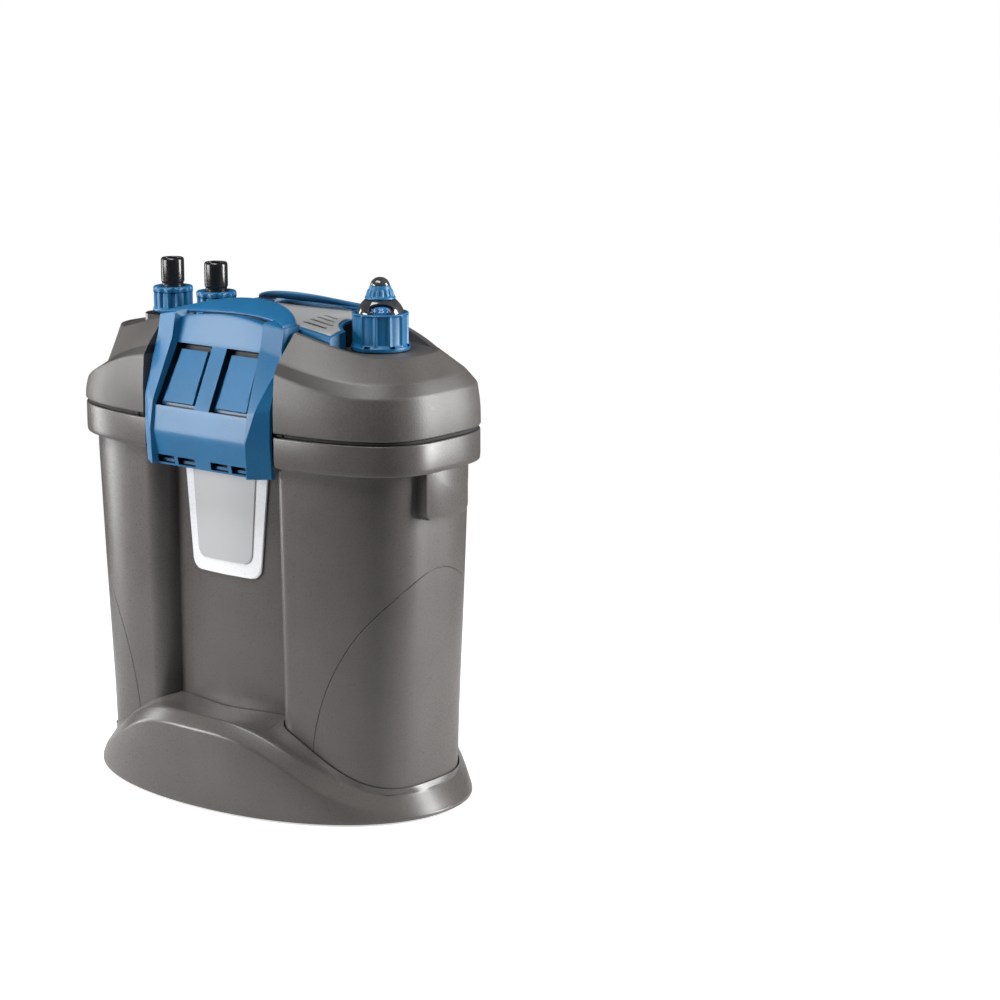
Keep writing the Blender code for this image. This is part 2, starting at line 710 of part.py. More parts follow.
def lid_shell():
    """Lid with two chamfer bands, a rim and a flat deck, hollow below."""
    base = COLLAR_TOP + 2 * GAP + GASKET_HEIGHT
    straight = base + LID_BASE_STRAIGHT
    skirt = lid_outline(COLLAR_HALF_LENGTH, COLLAR_HALF_LENGTH, COLLAR_HALF_DEPTH, COLLAR_POWER)
    lower = lid_outline(LOWER_CREASE_RIGHT[0], LOWER_CREASE_LEFT[0], LOWER_CREASE_DEPTH, COLLAR_POWER)
    upper = lid_outline(UPPER_CREASE_RIGHT[0], UPPER_CREASE_LEFT[0], UPPER_CREASE_DEPTH,
                        UPPER_CREASE_POWER)
    rim = lid_outline(RIM_RIGHT, RIM_LEFT, RIM_DEPTH, RIM_POWER)
    z_lower = lower_crease(lower[0])
    z_upper = upper_crease(upper[0])
    z_rim = lid_rim(rim[0])
    z_straight = np.minimum(straight, z_lower - 0.004)
    drop = 0.002
    skirt_bay = bay_limited(skirt, bay_depth(straight))
    lower_bay = bay_limited(lower, bay_depth(z_lower))
    upper_bay = bay_limited(upper, bay_depth(z_upper))
    rim_bay = bay_limited(rim, bay_depth(z_rim))
    deck_edge = inset(rim_bay, RIM_WIDTH)
    underside = inset(rim_bay, RIM_WIDTH + 0.001)
    rings = [
        at_height(deck_edge, DECK),
        at_height(deck_edge, np.maximum(DECK + 0.0003, z_rim - 0.0004)),
        at_height(rim_bay, z_rim),
        at_height(upper_bay, z_upper),
        at_height(lower_bay, z_lower),
        at_height(skirt_bay, z_straight),
        at_height(skirt_bay, base),
        at_height(inset(skirt_bay, WALL), base),
        at_height(inset(skirt_bay, WALL), z_straight),
        at_height(inset(lower_bay, WALL), z_lower - drop),
        at_height(inset(upper_bay, WALL), z_upper - drop),
        at_height(underside, DECK - WALL),
    ]
    lid = skin("lid_shell", rings, brown_plastic())
    combine(lid, lid_bosses(), "UNION")
    combine(lid, lid_holes(), "DIFFERENCE")
    return lid


def ear_section(side):
    """Side view of a hinge ear: a post with a round head about the pin."""
    turn = np.linspace(0, math.pi, 7)
    head = [(HINGE_Y + LUG_RADIUS * math.cos(a), HINGE_Z + LUG_RADIUS * math.sin(a)) for a in turn]
    foot_z = DECK - 0.0015
    section = head + [(HINGE_Y - LUG_RADIUS, foot_z), (HINGE_Y + LUG_RADIUS, foot_z)]
    return [(side * y, z) for y, z in section]


def lid_bosses():
    """Heater socket, gland boss and hinge ears, as separate bodies of one tool."""
    bm = bmesh.new()
    centre = (HEATER_X, 0.0)
    rings = [circle(centre, HEATER_SOCKET_RADIUS, height, 24)
             for height in (DECK - WALL / 2, HEATER_SOCKET_TOP)]
    add_skin(bm, rings)
    rings = [circle((GLAND_X, GLAND_Y), GLAND_RADIUS + 0.0015, height, 16)
             for height in (GLAND_SEAT - 0.0075, GLAND_SEAT)]
    add_skin(bm, rings)
    for side in (-1, 1):
        for end in (-1, 1):
            section = ear_section(side)
            add_skin(bm, [[(end * x, y, z) for y, z in section] for x in EAR_X])
    return finished("lid_bosses", bm, brown_plastic())


def lid_holes():
    """Bores for the heater, the two pipes, the cable and the hinge pins."""
    bm = bmesh.new()
    bores = (((HEATER_X, 0.0), HEATER_BORE, 24, DECK - 0.02, HEATER_SOCKET_TOP + 0.01),
             ((INLET_X, 0.0), PIPE_RADIUS + RUNNING_FIT, 20, DECK - 0.02, DECK + 0.01),
             ((OUTLET_X, 0.0), PIPE_RADIUS + RUNNING_FIT, 20, DECK - 0.02, DECK + 0.01),
             ((GLAND_X, GLAND_Y), GLAND_BORE, 12, GLAND_SEAT - 0.02, GLAND_SEAT + 0.01))
    for centre, radius, steps, low, high in bores:
        add_skin(bm, [circle(centre, radius, height, steps) for height in (low, high)])
    for side in (-1, 1):
        for end in (-1, 1):
            x = (end * (EAR_X[0] - 0.001), end * (EAR_X[1] + 0.001))
            add_skin(bm, pin_rings(side, x, PIN_RADIUS + RUNNING_FIT))
    return finished("lid_holes", bm, brown_plastic())


def pin_rings(side, places, radius):
    """Rings of a bar along X on the hinge axis."""
    turn = np.arange(12) * 2 * math.pi / 12
    y = side * HINGE_Y + radius * np.cos(turn)
    z = HINGE_Z + radius * np.sin(turn)
    return [np.column_stack([np.full(12, x), y, z]) for x in places]


# ---------------------------------------------------------------- latches

def latch_sections():
    """Front latch sections as (x, [(depth, height), ...]), from the middle out to the edge."""
    low = COLLAR_BOTTOM
    top = DECK
    under = low - 0.0005
    foot = low - 0.0086
    lip = low - 0.0046
    hook = [(0.0745, foot), (0.0745, lip), (HOOK_TIP, lip), (HOOK_TIP, low - 0.0018),
            (COLLAR_BAY_DEPTH + GAP, under), (0.0755, under)]
    flat = [(0.0745, foot), (0.0746, lip), (0.0747, low - 0.0036), (0.0748, low - 0.0026),
            (0.0750, low - 0.0016), (0.0755, under)]
    slim = [(0.0690, foot), (0.0695, lip), (0.0700, low - 0.0036), (0.0703, low - 0.0026),
            (0.0708, low - 0.0016), (0.0712, under)]
    middle = [(0.042, top + 0.0203), (0.0533, top + 0.0220), (0.0586, top - 0.0005),
              (0.0793, top - 0.0405), (0.0800, low + 0.0154), (0.0775, foot)]
    ridge = [(0.042, top + 0.0215), (0.0590, top + 0.0210), (0.0632, top + 0.0025),
             (0.0805, top - 0.0395), (0.0840, low + 0.0174), (0.0825, foot)]
    edge = [(0.042, top + 0.0180), (0.0545, top + 0.0180), (0.0615, top - 0.0025),
            (0.0735, top - 0.0375), (0.0743, low + 0.0174), (0.0725, foot)]
    inner = [(0.0757, low + 0.0154), (0.0750, top - 0.0415), (0.0545, top - 0.0015),
             (0.0500, top + 0.0155), (0.042, top + 0.0165)]
    rail_inner = [(0.0718, low + 0.0154), (0.0712, top - 0.0415), (0.0532, top - 0.0015),
                  (0.0500, top + 0.0140), (0.042, top + 0.0150)]
    share = (HOOK_X - RAIL_RIDGE_X) / (RAIL_EDGE_X - RAIL_RIDGE_X)
    rail = [(r[0] + share * (e[0] - r[0]), r[1] + share * (e[1] - r[1])) for r, e in zip(ridge, edge)]
    return [(0.0, middle + hook + inner),
            (WINDOW_X[1], middle + hook + inner),
            (RAIL_RIDGE_X, ridge + hook + inner),
            (HOOK_X, rail + hook + inner),
            (HOOK_X + 0.0003, rail + flat + inner),
            (HOOK_X + 0.0020, rail + slim + rail_inner),
            (RAIL_EDGE_X, edge + slim + rail_inner)]


def latch(name, side):
    """A swing latch: two rails, a windowed panel, a hook under the collar and an arched handle."""
    half = latch_sections()
    stations = [(-x, s) for x, s in half[::-1]] + half[1:]
    rings = [[(x, side * depth, height) for depth, height in section] for x, section in stations]
    body = skin(name, rings, blue_plastic())
    combine(body, latch_arch(name, side), "UNION")
    combine(body, latch_lugs(name, side), "UNION")
    combine(body, latch_cuts(name, side), "DIFFERENCE")
    return body


def latch_arch(name, side):
    """The handle: a flat band that rises and leans back between the rails."""
    rings = []
    for x in np.linspace(-ARCH_X, ARCH_X, 13):
        rise = 1 - abs(x / ARCH_X) ** 2.2
        low = ARCH_FOOT_Z - 0.0005 + ARCH_RISE * rise
        front = ARCH_FOOT_Y[0] + (ARCH_FRONT_Y - ARCH_FOOT_Y[0]) * rise ** 0.8
        back = ARCH_FOOT_Y[1] + (ARCH_BACK_Y - ARCH_FOOT_Y[1]) * rise ** 0.8
        front_drop = 0.003 * rise
        band = [(front, low - front_drop), (front, low - front_drop - ARCH_THICK),
                (back, low - ARCH_THICK), (back, low)]
        rings.append([(x, side * depth, height) for depth, height in band])
    return skin(name + "_arch", rings, blue_plastic())


def lug_places():
    """The x ranges of the two lugs of one rail."""
    inner = (EAR_X[0] - RUNNING_FIT - LUG_THICK, EAR_X[0] - RUNNING_FIT)
    outer = (EAR_X[1] + RUNNING_FIT, EAR_X[1] + RUNNING_FIT + LUG_THICK)
    return inner, outer


def latch_lugs(name, side):
    """Hinge lugs under the rails, on both sides of each lid ear."""
    turn = np.linspace(math.pi, 2 * math.pi, 7)
    round_end = [(HINGE_Y + LUG_RADIUS * math.cos(a), HINGE_Z + LUG_RADIUS * math.sin(a)) for a in turn]
    top = HINGE_Z + 0.0060
    section = round_end + [(HINGE_Y + LUG_RADIUS, top), (HINGE_Y - LUG_RADIUS / 2, top)]
    bm = bmesh.new()
    for end in (-1, 1):
        for places in lug_places():
            add_skin(bm, [[(end * x, side * y, z) for y, z in section] for x in places])
    return finished(name + "_lugs", bm, blue_plastic())


def latch_cuts(name, side):
    """Window recesses, the through slots above the hook, the ear pockets and the pin bores."""
    bm = bmesh.new()
    slope = (0.0793 - 0.0586) / 0.0400
    for end in (-1, 1):
        rings = []
        for z in WINDOW_Z:
            front = 0.0586 + slope * (DECK - 0.0005 - z)
            rings.append([(end * x, side * y, z) for x, y in
                          ((WINDOW_X[0], front - WINDOW_DEPTH), (WINDOW_X[1] - 0.001, front - WINDOW_DEPTH),
                           (WINDOW_X[1] - 0.001, front + 0.01), (WINDOW_X[0], front + 0.01))])
        add_skin(bm, rings)
        for low, high in SLOT_XS:
            corners = sorted((end * low, end * high))
            depth = sorted((side * 0.0765, side * 0.090))
            add_box(bm, (corners[0], depth[0], SLOT_Z[0]), (corners[1], depth[1], SLOT_Z[1]))
        corners = sorted((end * (EAR_X[0] - RUNNING_FIT), end * (EAR_X[1] + RUNNING_FIT)))
        depth = sorted((side * (HINGE_Y - 0.008), side * (HINGE_Y + LUG_RADIUS + 0.0022)))
        add_box(bm, (corners[0], depth[0], BAY_RIM), (corners[1], depth[1], HINGE_Z + LUG_RADIUS + 0.0006))
    cuts = finished(name + "_cuts", bm, blue_plastic())
    return cuts


def latch_bores(name, side):
    """Pin bores through the four lugs."""
    bm = bmesh.new()
    reach = lug_places()
    for end in (-1, 1):
        places = (end * (reach[0][0] - 0.001), end * (reach[1][1] + 0.0005))
        add_skin(bm, pin_rings(side, places, PIN_RADIUS + RUNNING_FIT))
    return finished(name + "_bores", bm, blue_plastic())


def hinge_pins(prefix, side):
    """One steel pin for each rail."""
    reach = lug_places()
    made = []
    for end, word in ((-1, "left"), (1, "right")):
        places = (end * (reach[0][0] + GAP), end * (reach[1][1] - GAP))
        made.append(skin(prefix + "_hinge_pin_" + word, pin_rings(side, places, PIN_RADIUS), steel()))
    return made


# ---------------------------------------------------------------- pump cover and heater

def cover_edge(x):
    """Height of the pump cover along its front and rear edges."""
    fall = np.clip((x - COVER_FLAT_X) / (COVER_X[1] - COVER_FLAT_X), 0, 1)
    return COVER_EDGE - COVER_EDGE_DROP * fall


def pump_cover():
    """Crowned cover between the two handles, cut round the heater, with four vents."""
    y = COVER_HALF_DEPTH * np.array([-1, -0.94, -0.7, -0.35, 0, 0.35, 0.7, 0.94, 1])
    crown = COVER_CROWN * (1 - (y / COVER_HALF_DEPTH) ** 2)
    bottom = DECK + GAP
    rings = []
    for x in (COVER_X[0], 0.0, COVER_FLAT_X, COVER_X[1]):
        top = cover_edge(x) + crown
        top[[0, -1]] -= 0.0012
        ys = np.concatenate([y, y[::-1][[0, -1]]])
        zs = np.concatenate([top, (bottom, bottom)])
        rings.append(np.column_stack([np.full(len(ys), x), ys, zs]))
    cover = skin("pump_cover", rings, grey_plastic())
    combine(cover, cover_cuts(), "DIFFERENCE")
    return cover


def cover_cuts():
    """Hollow underneath, vents, and the bay round the heater."""
    bm = bmesh.new()
    inside = COVER_HALF_DEPTH - COVER_WALL
    add_box(bm, (COVER_X[0] + COVER_WALL, -inside, DECK - 0.01), (0.048, inside, COVER_EDGE - 0.004))
    for y in VENT_YS:
        add_box(bm, (VENT_X[0], y - VENT_WIDTH / 2, COVER_EDGE - VENT_DEPTH + 0.002),
                (VENT_X[1] - 0.0035, y + VENT_WIDTH / 2, COVER_EDGE + 0.01))
    bay = COVER_BAY_RADIUS - 0.004
    add_skin(bm, [circle((HEATER_X, 0), bay, z, 28) for z in (DECK - 0.01, CAP_TOP + 0.009)])
    return finished("cover_cuts", bm, grey_plastic())


def heater_pieces():
    """Heater from its tube up to the seal, then the cap, dome, dial, knob and tip."""
    centre = (HEATER_X, 0.0)
    seal_low = HEATER_SOCKET_TOP + GAP
    flange_low = seal_low + SEAL_THICK + GAP
    flange_top = flange_low + FLANGE_THICK
    lip_low = flange_top + GAP
    lip_top = lip_low + CAP_LIP
    seal = turned("heater_seal", tube_profile(0.0166, HEATER_BORE, seal_low, seal_low + SEAL_THICK),
                  black_rubber(), centre)
    tube_top = DECK - 0.0065
    body_low = DECK - 0.0245
    body_radius = HEATER_BORE - RUNNING_FIT
    neck_top = lip_top + 0.0037
    bore = 0.008
    socket = HEATER_TUBE_RADIUS + GAP
    body = turned("heater_body", [
        (BODY_FLANGE_RADIUS, flange_top), (BODY_FLANGE_RADIUS, flange_low), (body_radius, flange_low),
        (body_radius, body_low), (socket, body_low), (socket, tube_top + GAP), (bore, tube_top + GAP),
        (bore, neck_top), (BODY_NECK_RADIUS, neck_top), (BODY_NECK_RADIUS, flange_top)],
        black_plastic(), centre)
    inner = HEATER_TUBE_RADIUS - HEATER_TUBE_WALL
    low = HEATER_TUBE_BOTTOM
    tube = turned("heater_tube", [
        (0, low), (HEATER_TUBE_RADIUS - 0.003, low), (HEATER_TUBE_RADIUS, low + 0.003),
        (HEATER_TUBE_RADIUS, tube_top), (inner, tube_top), (inner, low + 0.0035), (0, low + 0.0035)],
        titanium(), centre, 16)
    element_low = low + 0.0035 + GAP
    element = turned("heating_element", [
        (0, ELEMENT_TOP), (ELEMENT_RADIUS, ELEMENT_TOP), (ELEMENT_RADIUS, element_low), (0, element_low)],
        ceramic(), centre, 12)
    return [seal, body, tube, element, heater_cap(centre, lip_low, lip_top),
            *heater_controls(centre, lip_top, neck_top)]


def heater_cap(centre, lip_low, lip_top):
    """Fluted lock cap over the heater's flange."""
    low = DECK + 0.0005 + GAP
    border = low + 0.0028
    edge = 0.001
    flute = 0.0010
    below = HEATER_SOCKET_RADIUS + RUNNING_FIT
    above = DOME_RADIUS + 0.0006
    levels = [(CAP_FLANGE_RADIUS, low, 0), (CAP_FLANGE_RADIUS, border, 0), (CAP_RADIUS, border, flute),
              (CAP_RADIUS, CAP_TOP - edge, flute), (CAP_RADIUS - edge, CAP_TOP, 0), (above, CAP_TOP, 0),
              (above, lip_top, 0), (BODY_NECK_RADIUS + 0.0006, lip_top, 0),
              (BODY_NECK_RADIUS + 0.0006, lip_low, 0), (below, lip_low, 0), (below, low, 0)]
    return fluted("heater_cap", levels, CAP_FLUTES, blue_plastic(), centre)


def heater_controls(centre, lip_top, neck_top):
    """Glossy dome with a window, the dial inside it, and the knob with its tip above."""
    low = lip_top + GAP
    knee = DECK + 0.0257
    shoulder = [(0.0162, DECK + 0.0285), (0.0148, DECK + 0.0317), (0.0126, DECK + 0.0343)]
    stem_bore = 0.0043
    inner_low = BODY_NECK_RADIUS + GAP
    dome = turned("heater_dome", [
        (DOME_RADIUS, low), (DOME_RADIUS, knee), *shoulder, (0.0110, DOME_TOP), (stem_bore, DOME_TOP),
        (stem_bore, DOME_TOP - DOME_WALL), (0.0108, DOME_TOP - DOME_WALL),
        *[(r - DOME_WALL, z - 0.0006) for r, z in shoulder[::-1]],
        (DOME_RADIUS - DOME_WALL, knee), (DOME_RADIUS - DOME_WALL, neck_top + GAP),
        (inner_low, neck_top + GAP), (inner_low, low)], black_plastic(), centre, 20)
    combine(dome, dome_window(), "DIFFERENCE")
    dial_low = neck_top + 2 * GAP
    stem = stem_bore - RUNNING_FIT
    knob_low = DOME_TOP + GAP
    dial = turned("temperature_dial", [
        (0, knob_low), (stem, knob_low), (stem, DOME_TOP - 0.0030), (0.0090, DOME_TOP - 0.0034),
        (0.0128, DECK + 0.0285), (0.0142, DECK + 0.0255), (0.0142, dial_low), (0, dial_low)],
        blue_plastic(), centre)
    band = knob_low + 0.0012
    knob_seat = knob_low + GAP
    knob = fluted("temperature_knob", [
        (KNOB_RADIUS, knob_seat, 0), (KNOB_RADIUS, band + GAP, 0), (KNOB_RADIUS, band + 0.0006, 0.0007),
        (0.0092, DECK + 0.0410, 0.0007), (0.0082, DECK + 0.0423, 0), (KNOB_TOP_RADIUS, KNOB_TOP, 0),
        (0.0040, KNOB_TOP, 0), (0.0040, knob_seat, 0)], KNOB_RIBS, blue_plastic(), centre)
    tip_low = knob_seat
    tip = turned("temperature_tip", [
        (0, TIP_TOP), (0.0020, TIP_TOP - 0.0003), (0.0040, DECK + 0.0495), (0.0058, DECK + 0.0470),
        (0.0066, KNOB_TOP + GAP), (0.0036, KNOB_TOP + GAP), (0.0036, tip_low), (0, tip_low)],
        black_plastic(), centre, 16)
    return [dome, dial, knob, tip]


def dome_window():
    """Oval cutter through the side of the dome that its window is on."""
    turn = np.arange(14) * 2 * math.pi / 14
    middle = DECK + 0.0275
    section = [(0.0052 * math.cos(a), middle + 0.0032 * math.sin(a)) for a in turn]
    cutter = prism("dome_window", section, -0.0145, -0.020, black_plastic(), axis="Y")
    cutter.data.transform(Matrix.Translation((HEATER_X, 0, 0)) @ Matrix.Rotation(DOME_WINDOW_TURN, 4, "Z"))
    return cutter


# ---------------------------------------------------------------- hose connectors and gland

def connector_places():
    return {"inlet": INLET_X, "outlet": OUTLET_X}


def hose_adapter():
    """Block on the deck with a threaded spigot for each hose connector."""
    low = DECK + GAP
    x0 = INLET_X - ADAPTER_OVERHANG
    x1 = OUTLET_X + ADAPTER_OVERHANG - 0.002
    corner = 0.006
    section = rounded_rectangle((x0, x1), ADAPTER_HALF_DEPTH, corner)
    rings = [at_height(section, low), at_height(section, ADAPTER_TOP - 0.001),
             at_height(inset(section, 0.001), ADAPTER_TOP)]
    block = skin("hose_adapter", rings, black_plastic())
    bm = bmesh.new()
    for x in connector_places().values():
        add_skin(bm, [circle((x, 0), SPIGOT_RADIUS, z, 20) for z in (ADAPTER_TOP - 0.002, SPIGOT_TOP)])
    combine(block, finished("adapter_spigots", bm, black_plastic()), "UNION")
    bm = bmesh.new()
    for x in connector_places().values():
        radius = PIPE_RADIUS + RUNNING_FIT
        add_skin(bm, [circle((x, 0), radius, z, 20) for z in (low - 0.002, SPIGOT_TOP + 0.002)])
    combine(block, finished("adapter_bores", bm, black_plastic()), "DIFFERENCE")
    return block


def rounded_rectangle(x_range, half_depth, corner, steps=3):
    """Outline of a rectangle with round corners, counter-clockwise."""
    points = []
    middle = sum(x_range) / 2
    half = (x_range[1] - x_range[0]) / 2
    for quarter in range(4):
        for a in np.linspace(0, math.pi / 2, steps + 1):
            turn = a + quarter * math.pi / 2 - math.pi / 2
            sx = 1 if quarter in (0, 1) else -1
            sy = 1 if quarter in (1, 2) else -1
            points.append((middle + sx * (half - corner) + corner * math.cos(turn),
                           sy * (half_depth - corner) + corner * math.sin(turn)))
    x, y = np.array(points).T
    return x, y


def connector(prefix, x):
    """Washer, nipple and union nut of one hose connector."""
    centre = (x, 0.0)
    low = SPIGOT_TOP + GAP
    washer = turned(prefix + "_washer", tube_profile(SPIGOT_RADIUS - 0.0006, NIPPLE_BORE + 0.002, low,
                                                     low + WASHER_THICK), black_rubber(), centre, 20)
    flange_low = low + WASHER_THICK + GAP
    flange_top = flange_low + NIPPLE_FLANGE_THICK
    chamfer = 0.001
    nipple = turned(prefix + "_nipple", [
        (NIPPLE_FLANGE, flange_top), (NIPPLE_FLANGE, flange_low), (NIPPLE_BORE, flange_low),
        (NIPPLE_BORE, NIPPLE_TOP), (NIPPLE_RADIUS - chamfer, NIPPLE_TOP),
        (NIPPLE_RADIUS, NIPPLE_TOP - chamfer), (NIPPLE_RADIUS, NUT_TOP + 0.003),
        (NIPPLE_RADIUS - 0.0006, NUT_TOP + 0.0022), (NIPPLE_RADIUS - 0.0006, flange_top)],
        black_plastic(), centre, 20)
    nut_low = ADAPTER_TOP + 0.0005
    shoulder = flange_top + GAP
    thread = SPIGOT_RADIUS + RUNNING_FIT
    edge = 0.001
    rib = 0.0008
    bore = NIPPLE_RADIUS + RUNNING_FIT
    levels = [(NUT_RADIUS, nut_low, 0), (NUT_RADIUS, nut_low + 0.003, 0),
              (NUT_RADIUS, nut_low + 0.0035, rib), (NUT_RADIUS, NUT_TOP - 0.0035, rib),
              (NUT_RADIUS, NUT_TOP - 0.003, 0), (NUT_RADIUS - edge, NUT_TOP, 0), (bore, NUT_TOP, 0),
              (bore, shoulder, 0), (thread, shoulder, 0), (thread, nut_low, 0)]
    nut = fluted(prefix + "_nut", levels, NUT_RIBS, blue_plastic(), centre)
    return {"washer": washer, "nipple": nipple, "nut": nut}


def cable_gland():
    """Gland on its boss, with an open bore for the cable."""
    low = GLAND_SEAT + GAP
    waist = low + 0.006
    profile = [(GLAND_RADIUS, waist), (GLAND_RADIUS, low), (GLAND_BORE, low), (GLAND_BORE, GLAND_TOP),
               (GLAND_RADIUS - 0.002, GLAND_TOP), (GLAND_RADIUS - 0.001, waist + 0.001)]
    return turned("cable_gland", profile, black_rubber(), (GLAND_X, GLAND_Y), 16)


# ---------------------------------------------------------------- pump and pipes

def pump_pieces():
    """Motor housing, chamber and cover, all hung on one upright axis."""
    centre = (PUMP_X, 0.0)
    top = DECK - WALL - GAP
    housing = turned("motor_housing", [
        (0, top), (MOTOR_RADIUS, top), (MOTOR_RADIUS, MOTOR_BOTTOM), (ROTOR_WELL_RADIUS, MOTOR_BOTTOM),
        (ROTOR_WELL_RADIUS, ROTOR_WELL_TOP), (0, ROTOR_WELL_TOP)], black_plastic(), centre)
    chamber_top = MOTOR_BOTTOM - GAP
    chamber_low = chamber_top - CHAMBER_HEIGHT
    chamber = turned("pump_chamber", tube_profile(CHAMBER_RADIUS, CHAMBER_BORE, chamber_low, chamber_top),
                     black_plastic(), centre)
    wall_middle = PUMP_X - (CHAMBER_RADIUS + CHAMBER_BORE) / 2
    end = SOCKET_MOUTH_X - 0.006
    combine(chamber, lying_tube("chamber_spigot", end, wall_middle, 0, SPIGOT_Z, SPIGOT_PIPE_RADIUS,
                                black_plastic()), "UNION")
    combine(chamber, lying_tube("chamber_port", end - 0.002, PUMP_X - CHAMBER_BORE + 0.002, 0, SPIGOT_Z,
                                SPIGOT_PIPE_BORE, black_plastic()), "DIFFERENCE")
    cover_top = chamber_low - GAP
    cover_low = cover_top - CHAMBER_COVER_THICK
    bush_seat = 0.0036
    cover = turned("chamber_cover", tube_profile(CHAMBER_RADIUS, bush_seat, cover_low, cover_top),
                   black_plastic(), centre)
    bm = bmesh.new()
    for k in range(6):
        turn = k * math.pi / 3
        place = (PUMP_X + 0.0105 * math.cos(turn), 0.0105 * math.sin(turn))
        add_skin(bm, [circle(place, 0.004, z, 8) for z in (cover_low - 0.001, cover_top + 0.001)])
    combine(cover, finished("inlet_holes", bm, black_plastic()), "DIFFERENCE")
    return [housing, chamber, cover, *bearing_pieces(centre, cover_low, bush_seat)], cover_top


def bearing_pieces(centre, cover_low, bush_seat):
    """Shaft and the bush at each of its ends."""
    bore = SHAFT_RADIUS + RUNNING_FIT
    upper_top = ROTOR_WELL_TOP - GAP
    upper = turned("upper_bush", tube_profile(ROTOR_WELL_RADIUS - GAP, bore, upper_top - BUSH_THICK,
                                              upper_top), black_rubber(), centre, 16)
    lower_top = cover_low + CHAMBER_COVER_THICK
    lower = turned("lower_bush", tube_profile(bush_seat - GAP, bore, cover_low, lower_top),
                   black_rubber(), centre, 16)
    shaft = turned("rotor_shaft", [(0, upper_top), (SHAFT_RADIUS, upper_top), (SHAFT_RADIUS, cover_low),
                                   (0, cover_low)], ceramic(), centre, 12)
    return [upper, lower, shaft]


def rotor_pieces(cover_top):
    """Magnet and impeller that turn together on the shaft."""
    centre = (PUMP_X, 0.0)
    bore = SHAFT_RADIUS + RUNNING_FIT
    magnet_top = ROTOR_WELL_TOP - GAP - BUSH_THICK - 0.0005
    magnet_low = magnet_top - MAGNET_HEIGHT
    rotor = turned("rotor_magnet", tube_profile(MAGNET_RADIUS, bore, magnet_low, magnet_top),
                   magnet(), centre, 20)
    hub_low = cover_top + 0.0005
    hub_top = magnet_low - GAP
    wheel = turned("impeller", tube_profile(IMPELLER_HUB, bore, hub_low, hub_top), basket_plastic(),
                   centre, 16)
    bm = bmesh.new()
    for k in range(IMPELLER_VANES):
        turn = Matrix.Rotation(2 * math.pi * k / IMPELLER_VANES, 3, "Z")
        blade = bmesh.new()
        add_box(blade, (IMPELLER_HUB - 0.001, -0.0009, SPIGOT_Z - 0.005),
                (IMPELLER_RADIUS, 0.0009, SPIGOT_Z + 0.005))
        bmesh.ops.rotate(blade, verts=blade.verts, cent=(0, 0, 0), matrix=turn)
        bmesh.ops.translate(blade, verts=blade.verts, vec=(*centre, 0.0))
        placed = bpy.data.meshes.new("vane")
        blade.to_mesh(placed)
        blade.free()
        bm.from_mesh(placed)
        bpy.data.meshes.remove(placed)
    combine(wheel, finished("impeller_vanes", bm, basket_plastic()), "UNION")
    return [rotor, wheel]


def pipe(name, x, bottom, plugged):
    """Pipe that hangs from the adapter, with a flange under the deck."""
    top = SPIGOT_TOP - 0.0015
    inner = PIPE_RADIUS - PIPE_WALL
    flange_top = DECK - WALL - GAP
    flange_low = flange_top - 0.0025
    outside = [(inner, top), (PIPE_RADIUS, top), (PIPE_RADIUS, flange_top),
               (PIPE_FLANGE_RADIUS, flange_top), (PIPE_FLANGE_RADIUS, flange_low),
               (PIPE_RADIUS, flange_low), (PIPE_RADIUS, bottom)]
    if not plugged:
        return turned(name, outside + [(inner, bottom)], black_plastic(), (x, 0.0), 20)
    floor = [(0, bottom), (0, bottom + PIPE_WALL), (inner, bottom + PIPE_WALL)]
    profile = floor[1:] + outside + floor[:1]
    return turned(name, profile, black_plastic(), (x, 0.0), 20)


def water_pipes():
    """Intake riser to the tank floor, and the outlet pipe with its side socket."""
    riser = pipe("riser_pipe", INLET_X, RISER_BOTTOM, plugged=False)
    outlet = pipe("outlet_pipe", OUTLET_X, SPIGOT_Z - 0.0115, plugged=True)
    middle = OUTLET_X + PIPE_RADIUS - PIPE_WALL / 2
    combine(outlet, lying_tube("outlet_socket", middle, SOCKET_MOUTH_X, 0, SPIGOT_Z, SOCKET_RADIUS,
                               black_plastic()), "UNION")
    combine(outlet, lying_tube("outlet_port", OUTLET_X + 0.002, SOCKET_MOUTH_X + 0.002, 0, SPIGOT_Z,
                               SPIGOT_PIPE_RADIUS + RUNNING_FIT, black_plastic()), "DIFFERENCE")
    return [riser, outlet]


# ---------------------------------------------------------------- baskets

def baskets():
    """Three stacked baskets, each with a foam block under its carrying bridge."""
    made = []
    floor = LEDGE_TOP + GAP + TANK_EDGE
    first = floor + GAP + BASKET_LEG
    for k, word in enumerate(("lower", "middle", "upper")):
        low = first + k * (BASKET_HEIGHT + GAP)
        made.append(basket(word + "_basket", low, legs=(k == 0)))
        made.append(foam_block(word + "_foam", low))
    return made


